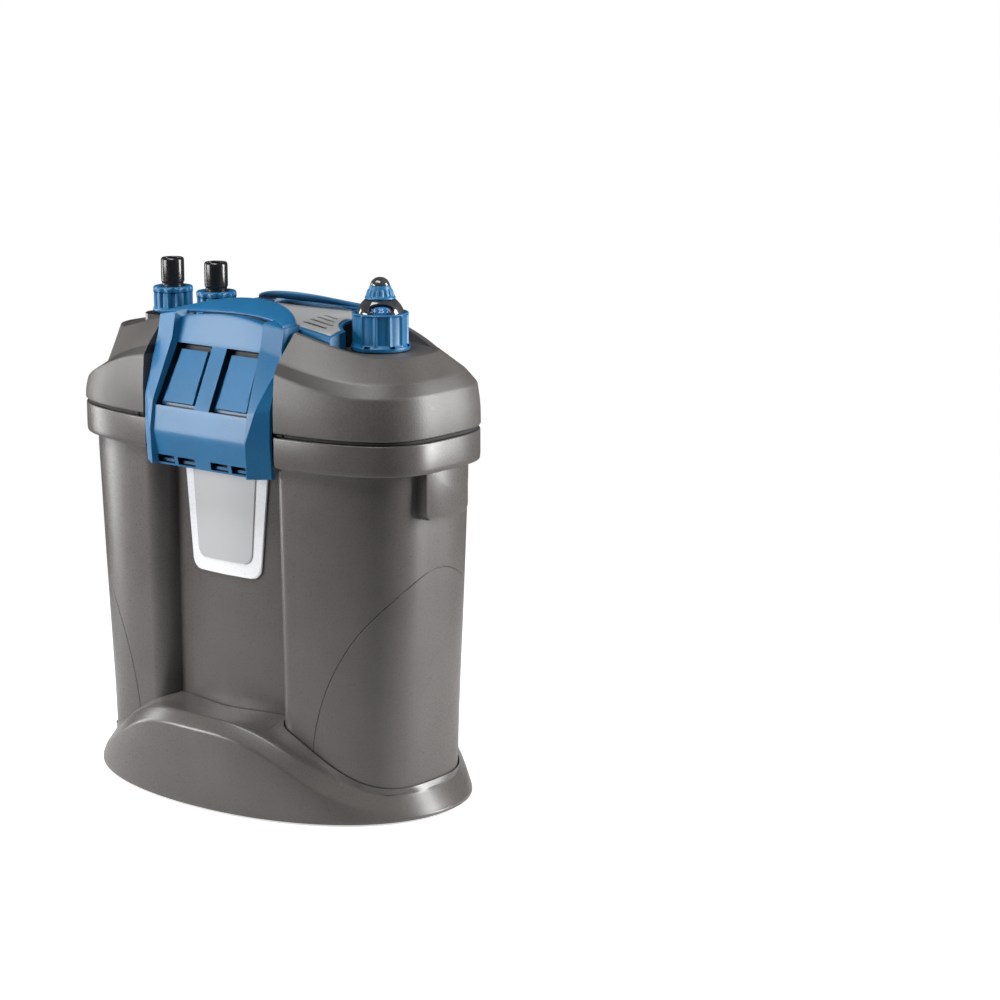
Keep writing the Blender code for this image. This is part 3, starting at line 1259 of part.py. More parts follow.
def basket(name, low, legs):
    """Open tray with a slotted floor and a bridge to lift it by."""
    outer = rounded_rectangle(BASKET_X, BASKET_HALF_DEPTH, BASKET_CORNER)
    inner = inset(outer, BASKET_WALL)
    top = low + BASKET_HEIGHT
    rings = [at_height(outer, low), at_height(outer, top), at_height(inner, top),
             at_height(inner, low + BASKET_WALL)]
    tray = skin(name, rings, basket_plastic())
    middle = sum(BASKET_X) / 2
    reach = BASKET_HALF_DEPTH - BASKET_WALL / 2
    half = BASKET_BRIDGE / 2
    parts = [((middle - half, -reach, top - BASKET_BRIDGE_THICK), (middle + half, reach, top - 0.0002))]
    if legs:
        for x in (BASKET_X[0] + 0.02, BASKET_X[1] - 0.02):
            for y in (-0.025, 0.025):
                parts.append(((x - 0.004, y - 0.004, low - BASKET_LEG),
                              (x + 0.004, y + 0.004, low + BASKET_WALL / 2)))
    combine(tray, boxes(name + "_bridge", parts, basket_plastic()), "UNION")
    slots = []
    span = BASKET_X[1] - BASKET_X[0]
    for k in range(BASKET_SLOTS):
        x = BASKET_X[0] + span * (k + 0.5) / BASKET_SLOTS
        slots.append(((x - 0.004, -0.015, low - 0.001), (x + 0.004, 0.015, low + BASKET_WALL + 0.001)))
    combine(tray, boxes(name + "_slots", slots, basket_plastic()), "DIFFERENCE")
    return tray


def foam_block(name, low):
    """Foam that fills a basket up to its bridge."""
    wall = BASKET_WALL + FOAM_CLEARANCE
    x_range = (BASKET_X[0] + wall, BASKET_X[1] - wall)
    section = rounded_rectangle(x_range, BASKET_HALF_DEPTH - wall, BASKET_CORNER - wall)
    bottom = low + BASKET_WALL + GAP
    top = low + BASKET_HEIGHT - BASKET_BRIDGE_THICK - GAP
    return skin(name, [at_height(section, bottom), at_height(section, top)], foam())


# ---------------------------------------------------------------- assembly

def clear_scene():
    for obj in list(bpy.data.objects):
        bpy.data.objects.remove(obj, do_unlink=True)


def make_latch(prefix, side):
    """A latch with its bores cut last, hung on its hinge."""
    body = latch(prefix + "_latch", side)
    combine(body, latch_bores(prefix, side), "DIFFERENCE")
    hinge_pins(prefix, side)
    hang_on([body], prefix + "_latch_axis", (0.0, side * HINGE_Y, HINGE_Z))


def main():
    clear_scene()
    tank_body()
    base_foot()
    rubber_feet()
    label_pieces()
    lid_gasket()
    lid_shell()
    for prefix, side in (("front", -1), ("rear", 1)):
        make_latch(prefix, side)
    pump_cover()
    heater = heater_pieces()
    hang_on([heater[4]], "heater_cap_axis", (HEATER_X, 0.0, DECK))
    hang_on(heater[6:], "temperature_axis", (HEATER_X, 0.0, DOME_TOP))
    hose_adapter()
    for prefix, x in connector_places().items():
        made = connector(prefix, x)
        hang_on([made["nut"]], prefix + "_nut_axis", (x, 0.0, SPIGOT_TOP))
    cable_gland()
    cover_top = pump_pieces()[1]
    hang_on(rotor_pieces(cover_top), "rotor_axis", (PUMP_X, 0.0, ROTOR_WELL_TOP))
    water_pipes()
    baskets()


main()
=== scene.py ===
"""Looks of an aquarium canister filter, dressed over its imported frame.

All lengths are in metres.  X runs along the filter, -Y is its front and Z is up.
"""

import json
import math

import bmesh
import bpy
import numpy as np
from mathutils import Matrix, Vector


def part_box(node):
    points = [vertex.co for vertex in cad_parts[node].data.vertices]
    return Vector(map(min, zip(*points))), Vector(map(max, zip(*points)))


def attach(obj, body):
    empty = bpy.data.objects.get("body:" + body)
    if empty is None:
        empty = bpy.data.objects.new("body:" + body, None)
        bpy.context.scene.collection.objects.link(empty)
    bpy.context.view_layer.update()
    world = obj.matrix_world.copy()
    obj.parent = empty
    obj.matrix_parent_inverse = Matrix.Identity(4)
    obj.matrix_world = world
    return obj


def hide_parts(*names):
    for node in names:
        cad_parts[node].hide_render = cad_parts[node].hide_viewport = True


bl_info = {
    "name": "Canister filter",
    "version": (1, 0, 0),
    "blender": (4, 5, 0),
    "location": "View3D > Sidebar > Filter",
    "description": "Builds the visible surfaces of an aquarium canister filter",
    "category": "Add Mesh",
}

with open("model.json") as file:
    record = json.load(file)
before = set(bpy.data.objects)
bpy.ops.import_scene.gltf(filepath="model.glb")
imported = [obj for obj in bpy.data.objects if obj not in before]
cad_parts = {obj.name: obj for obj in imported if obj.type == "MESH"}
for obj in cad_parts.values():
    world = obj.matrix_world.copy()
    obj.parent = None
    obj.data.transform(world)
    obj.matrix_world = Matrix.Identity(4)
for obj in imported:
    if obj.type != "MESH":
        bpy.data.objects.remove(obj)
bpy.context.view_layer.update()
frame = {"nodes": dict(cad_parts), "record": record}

MM = 0.001
TANK_LOW, TANK_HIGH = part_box("tank")
LID_LOW, LID_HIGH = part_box("lid_shell")
FOOT_LOW, FOOT_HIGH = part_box("base_foot")
CAP_LOW, CAP_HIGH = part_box("heater_cap")
DOME_LOW, DOME_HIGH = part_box("heater_dome")
KNOB_LOW, KNOB_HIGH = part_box("temperature_knob")
TIP_LOW, TIP_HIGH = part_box("temperature_tip")
DIAL_LOW, DIAL_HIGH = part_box("temperature_dial")
COVER_LOW, COVER_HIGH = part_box("pump_cover")
GLAND_LOW, GLAND_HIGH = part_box("cable_gland")
GASKET_LOW, GASKET_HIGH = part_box("lid_gasket")
HEATER = ((CAP_LOW.x + CAP_HIGH.x) / 2, 0.0)


# ---------------------------------------------------------------- settings

class FilterSizes(bpy.types.PropertyGroup):
    """Sizes that only the look depends on."""
    crease_depth: bpy.props.FloatProperty(
        name="Crease depth", description="Depth of the curved line on each column",
        default=0.5 * MM, min=0.0, unit="LENGTH")
    window_gap: bpy.props.FloatProperty(
        name="Window gap", description="Channel round each window panel of a latch",
        default=4.1 * MM, min=0.0, unit="LENGTH")
    window_depth: bpy.props.FloatProperty(
        name="Window depth", description="How far a window panel lies back",
        default=1.8 * MM, min=0.0, unit="LENGTH")
    digit_height: bpy.props.FloatProperty(
        name="Digit height", description="Height of the numbers on the dial",
        default=3.0 * MM, min=0.0, unit="LENGTH")


class FilterColours(bpy.types.PropertyGroup):
    """Colours of the moulded parts, in linear light."""
    casing: bpy.props.FloatVectorProperty(
        name="Casing", description="Tank, foot and lid", subtype="COLOR",
        default=(0.081, 0.0745, 0.071), min=0.0, max=1.0)
    clips: bpy.props.FloatVectorProperty(
        name="Clips", description="Latches, nuts and heater cap", subtype="COLOR",
        default=(0.006, 0.115, 0.265), min=0.0, max=1.0)
    fittings: bpy.props.FloatVectorProperty(
        name="Fittings", description="Nipples and adapter", subtype="COLOR",
        default=(0.010, 0.010, 0.011), min=0.0, max=1.0)
    cover: bpy.props.FloatVectorProperty(
        name="Cover", description="Grille of the pump cover", subtype="COLOR",
        default=(0.35, 0.35, 0.352), min=0.0, max=1.0)
    plate: bpy.props.FloatVectorProperty(
        name="Plate", description="Border of the label plate", subtype="COLOR",
        default=(0.76, 0.77, 0.79), min=0.0, max=1.0)
    field: bpy.props.FloatVectorProperty(
        name="Field", description="Field of the label plate", subtype="COLOR",
        default=(0.42, 0.425, 0.435), min=0.0, max=1.0)


def sizes():
    return bpy.context.scene.filter_sizes


def colours():
    return bpy.context.scene.filter_colours


# ---------------------------------------------------------------- shader maths

class Value:
    """A shader socket that can be used in arithmetic; each operation adds a Math node."""

    def __init__(self, shader, socket):
        self.shader = shader
        self.socket = socket

    def _math(self, operation, first, second):
        return self.shader.add("ShaderNodeMath", {"operation": operation}, {0: first, 1: second})

    def __add__(self, other):
        return self._math("ADD", self, other)

    __radd__ = __add__

    def __sub__(self, other):
        return self._math("SUBTRACT", self, other)

    def __rsub__(self, other):
        return self._math("SUBTRACT", other, self)

    def __mul__(self, other):
        return self._math("MULTIPLY", self, other)

    __rmul__ = __mul__


class Shader:
    """The node tree of a new material or world, with the node that its colour goes into."""

    def __init__(self, name, kind="materials", surface="Principled BSDF"):
        self.block = getattr(bpy.data, kind).new(name)
        self.block.use_nodes = True
        self.tree = self.block.node_tree
        self.surface = self.tree.nodes[surface]

    def add(self, kind, settings=None, inputs=None, output=0):
        """Add a node, set it up, then fill its sockets with numbers or links."""
        node = self.tree.nodes.new(kind)
        for name, value in (settings or {}).items():
            setattr(node, name, value)
        for key, value in (inputs or {}).items():
            self.fill(node.inputs[key], value)
        return Value(self, node.outputs[output])

    def fill(self, socket, value):
        """Link a value into a socket, or write a number or colour there."""
        if isinstance(value, Value):
            self.tree.links.new(value.socket, socket)
        else:
            socket.default_value = value

    def set(self, **inputs):
        """Fill sockets of the surface; an underscore in a name stands for a space."""
        for name, value in inputs.items():
            self.fill(self.surface.inputs[name.replace("_", " ")], value)

    def place(self):
        """Object coordinates, in metres."""
        return self.add("ShaderNodeTexCoord", output=3)

    def noise(self, scale, detail=2.0, roughness=0.5):
        """Noise with so many lumps to the metre."""
        return self.add("ShaderNodeTexNoise", None, {
            "Vector": self.place(), "Scale": scale, "Detail": detail, "Roughness": roughness})

    def stretch(self, value, low, high, to_low=0.0, to_high=1.0):
        """Map a range of values onto another, held at its ends."""
        return self.add("ShaderNodeMapRange", {"clamp": True}, {
            "Value": value, "From Min": low, "From Max": high, "To Min": to_low, "To Max": to_high})

    def blend(self, share, first, second):
        """Mix two colours by a share."""
        return self.add("ShaderNodeMix", {"data_type": "RGBA"}, {0: share, 6: first, 7: second}, output=2)

    def attribute(self, name):
        """The mark that skin() wrote on the points."""
        return self.add("ShaderNodeAttribute", {"attribute_name": name}, output=2)

    def grain(self, height, strength, distance):
        """Bump the surface by a height between 0 and 1, scaled to a distance."""
        bump = self.add("ShaderNodeBump", None, {
            "Strength": strength, "Distance": distance, "Height": height})
        self.fill(self.surface.inputs["Normal"], bump)


def rgba(colour, gain=1.0):
    """A colour times a gain, held at 1, with its alpha."""
    return (*[min(1.0, channel * gain) for channel in colour], 1.0)


def moulded(name, colour, roughness, grain_scale, grain_strength, mottling=0.10, shade=None):
    """Moulded plastic: slow mottling of its tone, spark-eroded grain, and painted shade that turns marked
    hollows near black.
    """
    shader = Shader(name)
    cloud = shader.noise(28.0, 3.0)
    speckle = shader.noise(grain_scale, 2.0, 0.6)
    tone = shader.stretch(cloud * 0.55 + speckle * 0.45, 0.35, 0.65)
    colour_here = shader.blend(tone, rgba(colour, 1 - mottling), rgba(colour, 1 + mottling))
    if shade:
        # Painted shade: where the mark is set, the colour goes to 0.04 of the base.
        mark = shader.attribute(shade)
        colour_here = shader.blend(mark, colour_here, rgba(colour, 0.04))
    rough = shader.stretch(speckle, 0.3, 0.7, roughness - 0.06, roughness + 0.06)
    shader.set(Base_Color=colour_here, Roughness=rough)
    shader.grain(speckle, grain_strength, 0.12 * MM)
    return shader.block


def casing_plastic():
    return moulded("casing_plastic", colours().casing, 0.31, 1300.0, 0.22, 0.10)


def lid_plastic():
    """Casing plastic with the coarser grain of the lid, and a chamfer band painted darker as shade, with its
    roughness raised.
    """
    shader = Shader("lid_plastic")
    colour = colours().casing
    cloud = shader.noise(28.0, 3.0)
    speckle = shader.noise(850.0, 3.0, 0.70)
    shade_band = shader.attribute("shade_band")
    tone = shader.stretch(cloud * 0.4 + speckle * 0.6, 0.35, 0.65)
    plain = shader.blend(tone, rgba(colour, 0.80), rgba(colour, 1.22))
    # Painted shade: the marked chamfer band is darkened towards 0.30 of the casing colour.
    shader.set(Base_Color=shader.blend(shade_band, plain, rgba(colour, 0.30)),
               Roughness=shader.stretch(speckle, 0.3, 0.7, 0.36, 0.48) + shade_band * 0.10)
    shader.grain(speckle, 0.55, 0.20 * MM)
    return shader.block


def clip_plastic():
    return moulded("clip_plastic", colours().clips, 0.42, 1000.0, 0.30, 0.14, shade="recess_shade")


def fitting_plastic():
    return moulded("fitting_plastic", colours().fittings, 0.22, 900.0, 0.02, 0.20)


def glossy_dome():
    """Polished dark plastic with faint moulding streaks."""
    shader = Shader("glossy_dome")
    streak = shader.noise(90.0, 2.0)
    tone = shader.stretch(streak, 0.35, 0.65)
    shader.set(Base_Color=shader.blend(tone, (0.030, 0.031, 0.034, 1), (0.050, 0.051, 0.055, 1)),
               Roughness=shader.stretch(streak, 0.3, 0.7, 0.08, 0.16), Coat_Weight=0.6, Coat_Roughness=0.05)
    return shader.block


def black_rubber():
    return moulded("soft_rubber", (0.008, 0.008, 0.008), 0.75, 700.0, 0.25, 0.25)


def cover_plastic():
    return moulded("cover_plastic", colours().cover, 0.38, 1200.0, 0.25, 0.06, shade="recess_shade")


def plate_plastic():
    return moulded("plate_plastic", colours().plate, 0.30, 600.0, 0.012, 0.015)


def field_plastic():
    """Satin field of the plate, a little lighter towards its top."""
    shader = Shader("field_plastic")
    height = shader.add("ShaderNodeSeparateXYZ", None, {0: shader.place()}, output=2)
    tone = shader.stretch(height, 0.17, 0.24)
    colour = colours().field
    speckle = shader.noise(800.0)
    shader.set(Base_Color=shader.blend(tone, rgba(colour, 0.96), rgba(colour, 1.14)),
               Roughness=shader.stretch(speckle, 0.3, 0.7, 0.34, 0.42))
    shader.grain(speckle, 0.06, 0.1 * MM)
    return shader.block


def dial_plastic():
    return moulded("dial_plastic", (0.020, 0.200, 0.560), 0.30, 900.0, 0.08, 0.05)


def digit_ink():
    return moulded("digit_ink", (0.85, 0.87, 0.90), 0.40, 900.0, 0.05, 0.03)


def brushed_metal(name, colour, roughness):
    """Ground metal with fine marks round its axis."""
    shader = Shader(name)
    marks = shader.noise(1800.0, 4.0)
    tone = shader.stretch(marks, 0.3, 0.7)
    shader.set(Base_Color=shader.blend(tone, rgba(colour, 0.9), rgba(colour, 1.1)), Metallic=1.0,
               Roughness=shader.stretch(marks, 0.3, 0.7, roughness - 0.08, roughness + 0.08))
    shader.grain(marks, 0.08, 0.05 * MM)
    return shader.block


def foam_sponge():
    """Open-cell foam: pores painted dark as shade, between lighter walls."""
    shader = Shader("foam_sponge")
    cells = shader.add("ShaderNodeTexVoronoi", None, {"Vector": shader.place(), "Scale": 700.0})
    pores = shader.stretch(cells, 0.1, 0.6)
    # Painted shade: the pores are coloured darker than the cell walls.
    shader.set(Base_Color=shader.blend(pores, (0.004, 0.010, 0.030, 1), (0.030, 0.085, 0.210, 1)),
               Roughness=shader.stretch(pores, 0, 1, 0.85, 0.98))
    shader.grain(pores, 0.9, 0.8 * MM)
    return shader.block


# ---------------------------------------------------------------- surfaces

def skin(name, rings, ends="cap", marks=None):
    """Quads over a stack of closed rings, shaped (rings, points, 3).

    Ends are capped with one face each ("cap"), or joined to one another ("loop").
    Marks are named values between 0 and 1 on each point, for the material.
    """
    rings = np.asarray(rings, float)
    rows, count = rings.shape[:2]
    index = np.arange(rows * count).reshape(rows, count)
    lower = index if ends == "loop" else index[:-1]
    upper = np.roll(index, -1, 0) if ends == "loop" else index[1:]
    quads = np.stack([lower, np.roll(lower, -1, 1), np.roll(upper, -1, 1), upper], -1).reshape(-1, 4)
    faces = quads.tolist()
    if ends == "cap":
        faces += [index[0][::-1].tolist(), index[-1].tolist()]
    mesh = bpy.data.meshes.new(name)
    mesh.from_pydata(rings.reshape(-1, 3).tolist(), [], faces)
    for key, values in (marks or {}).items():
        layer = mesh.attributes.new(key, "FLOAT", "POINT")
        layer.data.foreach_set("value", np.asarray(values, np.float32).ravel())
    return mesh


def tidy_mesh(mesh, angle):
    """Merge doubled points, turn faces outwards and shade smooth up to an angle."""
    bm = bmesh.new()
    bm.from_mesh(mesh)
    bmesh.ops.remove_doubles(bm, verts=bm.verts, dist=1e-6)
    bmesh.ops.dissolve_degenerate(bm, edges=bm.edges, dist=1e-7)
    bmesh.ops.recalc_face_normals(bm, faces=bm.faces)
    bm.to_mesh(mesh)
    bm.free()
    mesh.shade_smooth()
    mesh.set_sharp_from_angle(angle=math.radians(angle))


def put(name, data):
    """A new object in the scene, at the origin."""
    obj = bpy.data.objects.new(name, data)
    bpy.context.scene.collection.objects.link(obj)
    return obj


def piece(mesh, material, body, replaced=(), angle=38):
    """Put a finished mesh in the scene on its body, in place of its plain nodes."""
    tidy_mesh(mesh, angle)
    mesh.materials.append(material)
    obj = put(mesh.name, mesh)
    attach(obj, body)
    if replaced:
        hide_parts(*replaced)
    return obj


def outline(right, left, depth, power, front, steps):
    """Superellipse |x/a|^p + |y/b|^p = 1 with its own half-length a on each side.

    Points stand at set x along the front and back, then at equal turns round each end.
    """
    def quadrant(reach):
        start = math.acos((front[-1] / reach) ** (power / 2))
        turn = np.linspace(start, 0.0, steps + 1)[1:]
        x = np.concatenate([front, reach * np.cos(turn) ** (2 / power)])
        return x, depth * np.maximum(0.0, 1 - (x / reach) ** power) ** (1 / power)
    xr, yr = quadrant(right)
    xl, yl = quadrant(left)
    x = np.concatenate([xr, xr[-2::-1], -xl[1:], -xl[-2:0:-1]])
    y = np.concatenate([-yr, yr[-2::-1], yl[1:], -yl[-2:0:-1]])
    return x, y


def inset(shape, distance):
    """An outline moved inwards along its corner normals."""
    x, y = shape
    dx = np.roll(x, -1) - np.roll(x, 1)
    dy = np.roll(y, -1) - np.roll(y, 1)
    length = np.hypot(dx, dy)
    return x - distance * dy / length, y + distance * dx / length


def level(shape, height):
    """An outline lifted to a height, which may differ from point to point."""
    x, y = shape
    return np.stack([x, y, np.broadcast_to(height, x.shape)], -1)


def section(x, y, z):
    """A Y-Z outline standing at a place along X."""
    return np.stack([np.full(len(y), x), y, z], -1)


def soften(rings, radii, steps=4, loop=False):
    """Round each ring of a stack: the ring becomes a quadratic arc between its two neighbours."""
    rings = [np.asarray(ring, float) for ring in rings]
    made = []
    marks = []
    count = len(rings)
    for i, ring in enumerate(rings):
        radius = radii[i]
        if radius <= 0 or (not loop and i in (0, count - 1)):
            made.append(ring)
            marks.append(i)
            continue
        before = rings[i - 1] - ring
        after = rings[(i + 1) % count] - ring
        size_b = np.linalg.norm(before, axis=1, keepdims=True) + 1e-12
        size_a = np.linalg.norm(after, axis=1, keepdims=True) + 1e-12
        start = ring + before / size_b * np.minimum(radius, 0.45 * size_b)
        end = ring + after / size_a * np.minimum(radius, 0.45 * size_a)
        for s in np.linspace(0, 1, steps):
            made.append((1 - s) ** 2 * start + 2 * s * (1 - s) * ring + s ** 2 * end)
            marks.append(i)
    return np.stack(made), np.array(marks)


def rounded(plan, steps=4, loop=False):
    """Rings of a plan, whose rows are an outline, its height and the radius it is rounded to."""
    rings = [level(shape, height) for shape, height, _ in plan]
    return soften(rings, [radius for _, _, radius in plan], steps, loop)


def full_turn(steps):
    """Equal angles once round, the last one step short of the first."""
    return np.arange(steps) * 2 * math.pi / steps


def upright_axis(low, high):
    """X and Y of the middle of a box."""
    return (low.x + high.x) / 2, (low.y + high.y) / 2


def lathe(profile, centre, steps=96, scale=None):
    """Rings of a (radius, height) profile about an upright axis; scale(turn, k) may flute a level."""
    turn = full_turn(steps)
    rings = []
    for k, (radius, height) in enumerate(profile):
        r = radius - (scale(turn, k) if scale else 0.0)
        rings.append(level((centre[0] + r * np.cos(turn), centre[1] + r * np.sin(turn)), height))
    return rings


def turned(name, profile, centre, radius=0.4 * MM, steps=96, ends="loop", scale=None):
    """A rounded turned solid."""
    rings, _ = soften(lathe(profile, centre, steps, scale), [radius] * len(profile), 3, ends == "loop")
    return skin(name, rings, ends)


def cut(mesh, cutter):
    """Take a closed cutter mesh away from a closed mesh, and give the new mesh back."""
    tidy_mesh(cutter, 30)
    tidy_mesh(mesh, 30)
    tool = put("tool", cutter)
    work = put("work", mesh)
    change = work.modifiers.new("Boolean", "BOOLEAN")
    change.operation = "DIFFERENCE"
    change.solver = "EXACT"
    change.object = tool
    bpy.context.view_layer.update()
    graph = bpy.context.evaluated_depsgraph_get()
    result = bpy.data.meshes.new_from_object(work.evaluated_get(graph))
    result.name = mesh.name
    for old in (work, tool):
        bpy.data.objects.remove(old, do_unlink=True)
    if not result.polygons:
        raise RuntimeError(result.name + ": the cut left nothing")
    return result


# ---------------------------------------------------------------- tank

TANK_HEIGHTS = (0.018, 0.040, 0.150, 0.240)
TANK_HALF_LENGTHS = (0.1412, 0.1415, 0.147, 0.1505)
TANK_HALF_DEPTHS = (0.0660, 0.0662, 0.068, 0.070)
TANK_POWER = 3.3
PANEL_MIDDLE = 0.057
PANEL_GROOVE = 0.050
GROOVE_X = 0.054
COLUMN_X = 0.068
BAY_X = 0.062
TANK_WALL = 0.003
TANK_NECK = 0.236
COLLAR_BOTTOM = 0.2476
COLLAR_BAY_DEPTH = 0.066
COLLAR_POWER = 3.4
CREASE_X = 0.085
CREASE_FOOT = 0.042
CREASE_RISE = 0.135
CREASE_LENGTH = 0.100
TAB_HALF = 0.023
TAB_LOW = 0.214
TAB_CORNER = 0.007
TAB_FACE = 0.1572

TANK_FRONT = np.unique(np.concatenate([
    np.linspace(0, GROOVE_X - 0.002, 16), np.linspace(GROOVE_X - 0.002, COLUMN_X, 28),
    np.linspace(COLUMN_X, 0.079, 5), np.linspace(0.079, 0.0885, 20),
    (BAY_X, BAY_X + 0.0003)]))


def panel_depth(x):
    """Depth of the curved centre panel: a parabola, deepest at its grooves."""
    return PANEL_MIDDLE - (PANEL_MIDDLE - PANEL_GROOVE) * (x / GROOVE_X) ** 2


def tank_outline(height):
    """Tank outline: a superellipse whose front and back are pushed in to a curved panel.

    The panel's depth is a parabola in x; beside it a quarter ellipse leads out to the column.
    """
    x_size = np.interp(height, TANK_HEIGHTS, TANK_HALF_LENGTHS)
    y_size = np.interp(height, TANK_HEIGHTS, TANK_HALF_DEPTHS)
    top = TANK_HALF_LENGTHS[-1]
    x, y = outline(1.0, 1.0, 1.0, TANK_POWER, TANK_FRONT / top, 44)
    last = TANK_FRONT[-1]
    beyond = last + (np.abs(x) * top - last) * (x_size - last) / (top - last)
    x = np.sign(x) * np.where(np.abs(x) * top <= last + 1e-6, np.abs(x) * top, beyond)
    side = y_size * np.maximum(0, 1 - (np.abs(x) / x_size) ** TANK_POWER) ** (1 / TANK_POWER)
    across = np.abs(x)
    share = np.clip((across - GROOVE_X) / (COLUMN_X - GROOVE_X), 0, 1)
    column = PANEL_GROOVE + (side - PANEL_GROOVE) * np.sqrt(1 - (1 - share) ** 2)
    shaped = np.where(across <= GROOVE_X, panel_depth(across), column)
    return x, np.sign(y) * np.where(across < COLUMN_X, shaped, side)


def collar_outline():
    """Collar outline, held back inside the latch bays."""
    half = (TANK_HIGH.x, TANK_HIGH.y)
    x, y = outline(half[0], half[0], half[1], COLLAR_POWER, TANK_FRONT, 44)
    inside = np.abs(x) <= BAY_X + 1e-6
    return x, np.where(inside, np.clip(y, -COLLAR_BAY_DEPTH, COLLAR_BAY_DEPTH), y)


def crease_height(shape):
    """Height of the curved line, rising with the distance run round each end, and its half-width in Z.

    The line is 1 - (1 - s)^1.6 raised to 0.6, where s is the share of the distance run.
    """
    x, y = shape
    step = np.hypot(np.diff(x), np.diff(y))
    run = np.concatenate([[0.0], np.cumsum(step)])
    total = run[-1] + math.hypot(x[0] - x[-1], y[0] - y[-1])
    run = np.minimum(run % (total / 2), total / 2 - run % (total / 2))
    start = np.interp(CREASE_X, x[:len(x) // 4 - 2], run[:len(x) // 4 - 2])
    share = np.clip((run - start) / CREASE_LENGTH, 0, 1)
    rise = (1 - (1 - share) ** 1.6) ** 0.6
    before = np.maximum(CREASE_FOOT - 4 * (start - run), CREASE_FOOT - 0.016)
    line = np.where(run > start, CREASE_FOOT + CREASE_RISE * rise, before)
    step = np.hypot(np.roll(x, -1) - np.roll(x, 1), np.roll(y, -1) - np.roll(y, 1))
    slope = (np.roll(line, -1) - np.roll(line, 1)) / step
    return line, np.minimum(0.0005 * np.sqrt(1 + slope ** 2), 0.004)


def tank_rings():
    """Outer wall with the curved line, the collar, then the inner wall down to the floor."""
    bottom = TANK_LOW.z
    line, half = crease_height(tank_outline(0.150))
    depth = sizes().crease_depth
    plan = [(inset(tank_outline(bottom), 0.003), bottom, 0)]
    knee = bottom + 0.003
    for share in (0, 0.3, 0.6, 0.9, 0.97, 1):
        height = knee + (line - half - knee) * share
        plan.append((tank_outline(height), height, 0))
    plan.append((inset(tank_outline(line), depth), line, 0))
    for share in (0, 0.006, 0.03, 0.12, 0.3, 0.5, 0.7, 0.85, 1):
        height = line + half + (TANK_NECK - line - half) * share
        plan.append((tank_outline(height), height, 0))
    wall = tank_outline(COLLAR_BOTTOM)
    collar = collar_outline()
    plan += [(wall, COLLAR_BOTTOM, 1.5 * MM), (inset(collar, 0.0004), COLLAR_BOTTOM, 1.2 * MM),
             (collar, COLLAR_BOTTOM + 0.004, 0), (collar, TANK_HIGH.z, 1.2 * MM)]
    inner = inset(tank_outline(0.240), TANK_WALL)
    plan += [(inner, TANK_HIGH.z, 0.5 * MM), (inner, 0.235, 0),
             (inset(tank_outline(0.030), TANK_WALL), 0.030, 0),
             (inset(tank_outline(0.025), 0.004), bottom + 0.003, 0)]
    return rounded(plan)[0]


def end_tab(side):
    """Rings of a tab: straight sides and quarter-circle corners in Y and Z, carried out along X."""
    bend = np.linspace(0, math.pi / 2, 9)
    y = np.concatenate([TAB_HALF - TAB_CORNER + TAB_CORNER * np.sin(bend), [TAB_HALF]])
    z = np.concatenate([TAB_LOW + TAB_CORNER - TAB_CORNER * np.cos(bend), [COLLAR_BOTTOM + 0.003]])
    y = np.concatenate([y, -y[::-1]])
    z = np.concatenate([z, z[::-1]])
    inner = TANK_HALF_LENGTHS[-1] - TANK_WALL
    rings = []
    for x, shrink in ((inner, 0), (TAB_FACE - 0.0018, 0), (TAB_FACE - 0.0006, 0.0005), (TAB_FACE, 0.0018)):
        scale_y = (TAB_HALF - shrink) / TAB_HALF
        rings.append(section(side * x, y * scale_y, np.maximum(z, z.min() + shrink)))
    return rings


class FILTER_OT_tank(bpy.types.Operator):
    """Build the tank with its collar and end tabs"""
    bl_idname = "filter.tank"
    bl_label = "Tank"

    def execute(self, context):
        material = casing_plastic()
        piece(skin("tank_body", tank_rings()), material, "filter", ["tank"])
        for word, side in (("left", -1), ("right", 1)):
            piece(skin("tank_tab_" + word, end_tab(side)), material, "filter")
        return {"FINISHED"}


# ---------------------------------------------------------------- foot

FOOT_POWER = 2.1
FOOT_HUMP = 0.051
FOOT_HUMP_REACH = 0.100
FOOT_HUMP_POWER = 3.2
FOOT_END_HEIGHT = 0.015
LEDGE_TOP = 0.018


def foot_rim(x):
    """Height of the foot's rim: its ends' height plus a hump times e to the minus (x / reach)^3.2."""
    return FOOT_END_HEIGHT + FOOT_HUMP * np.exp(-(np.abs(x) / FOOT_HUMP_REACH) ** FOOT_HUMP_POWER)


def foot_outline(inward):
    """The foot's superellipse, at the tank's places along X."""
    reach = FOOT_HIGH.x - inward
    return outline(reach, reach, FOOT_HIGH.y - inward, FOOT_POWER, TANK_FRONT, 44)


def foot_rings():
    """From the skirt up over the bevelled rim, in to the tank, down, and back under the shell."""
    x = tank_outline(LEDGE_TOP)[0]
    across = np.abs(x)
    joint = foot_rim(across) + 0.0045 - 0.007 * np.maximum(0, 1 - (across / GROOVE_X) ** 2)
    around = inset(tank_outline(joint), -0.0012)
    seat = inset(tank_outline(LEDGE_TOP), -0.0008)
    skirt = foot_outline(0.003)
    rim = foot_outline(0.0105)
    middle = tuple((a + b) / 2 for a, b in zip(rim, around))
    middle_z = (foot_rim(rim[0]) + joint) / 2 - 0.0012
    plan = [(foot_outline(0.0), FOOT_LOW.z, 0), (foot_outline(0.0002), FOOT_LOW.z + 0.002, 0.5 * MM),
            (foot_outline(0.0012), FOOT_LOW.z + 0.45 * (foot_rim(skirt[0]) - 0.009), 6 * MM),
            (skirt, foot_rim(skirt[0]) - 0.009, 1.6 * MM), (rim, foot_rim(rim[0]), 1.6 * MM),
            (middle, middle_z, 5 * MM), (around, joint, 0.4 * MM), (seat, LEDGE_TOP + 0.001, 0),
            (inset(seat, 0.016), LEDGE_TOP, 0), (inset(seat, 0.016), LEDGE_TOP - 0.003, 0),
            (foot_outline(0.014), LEDGE_TOP - 0.0031, 0), (foot_outline(0.004), FOOT_LOW.z + 0.004, 0),
            (foot_outline(0.003), FOOT_LOW.z, 0)]
    return rounded(plan, 5, loop=True)[0]


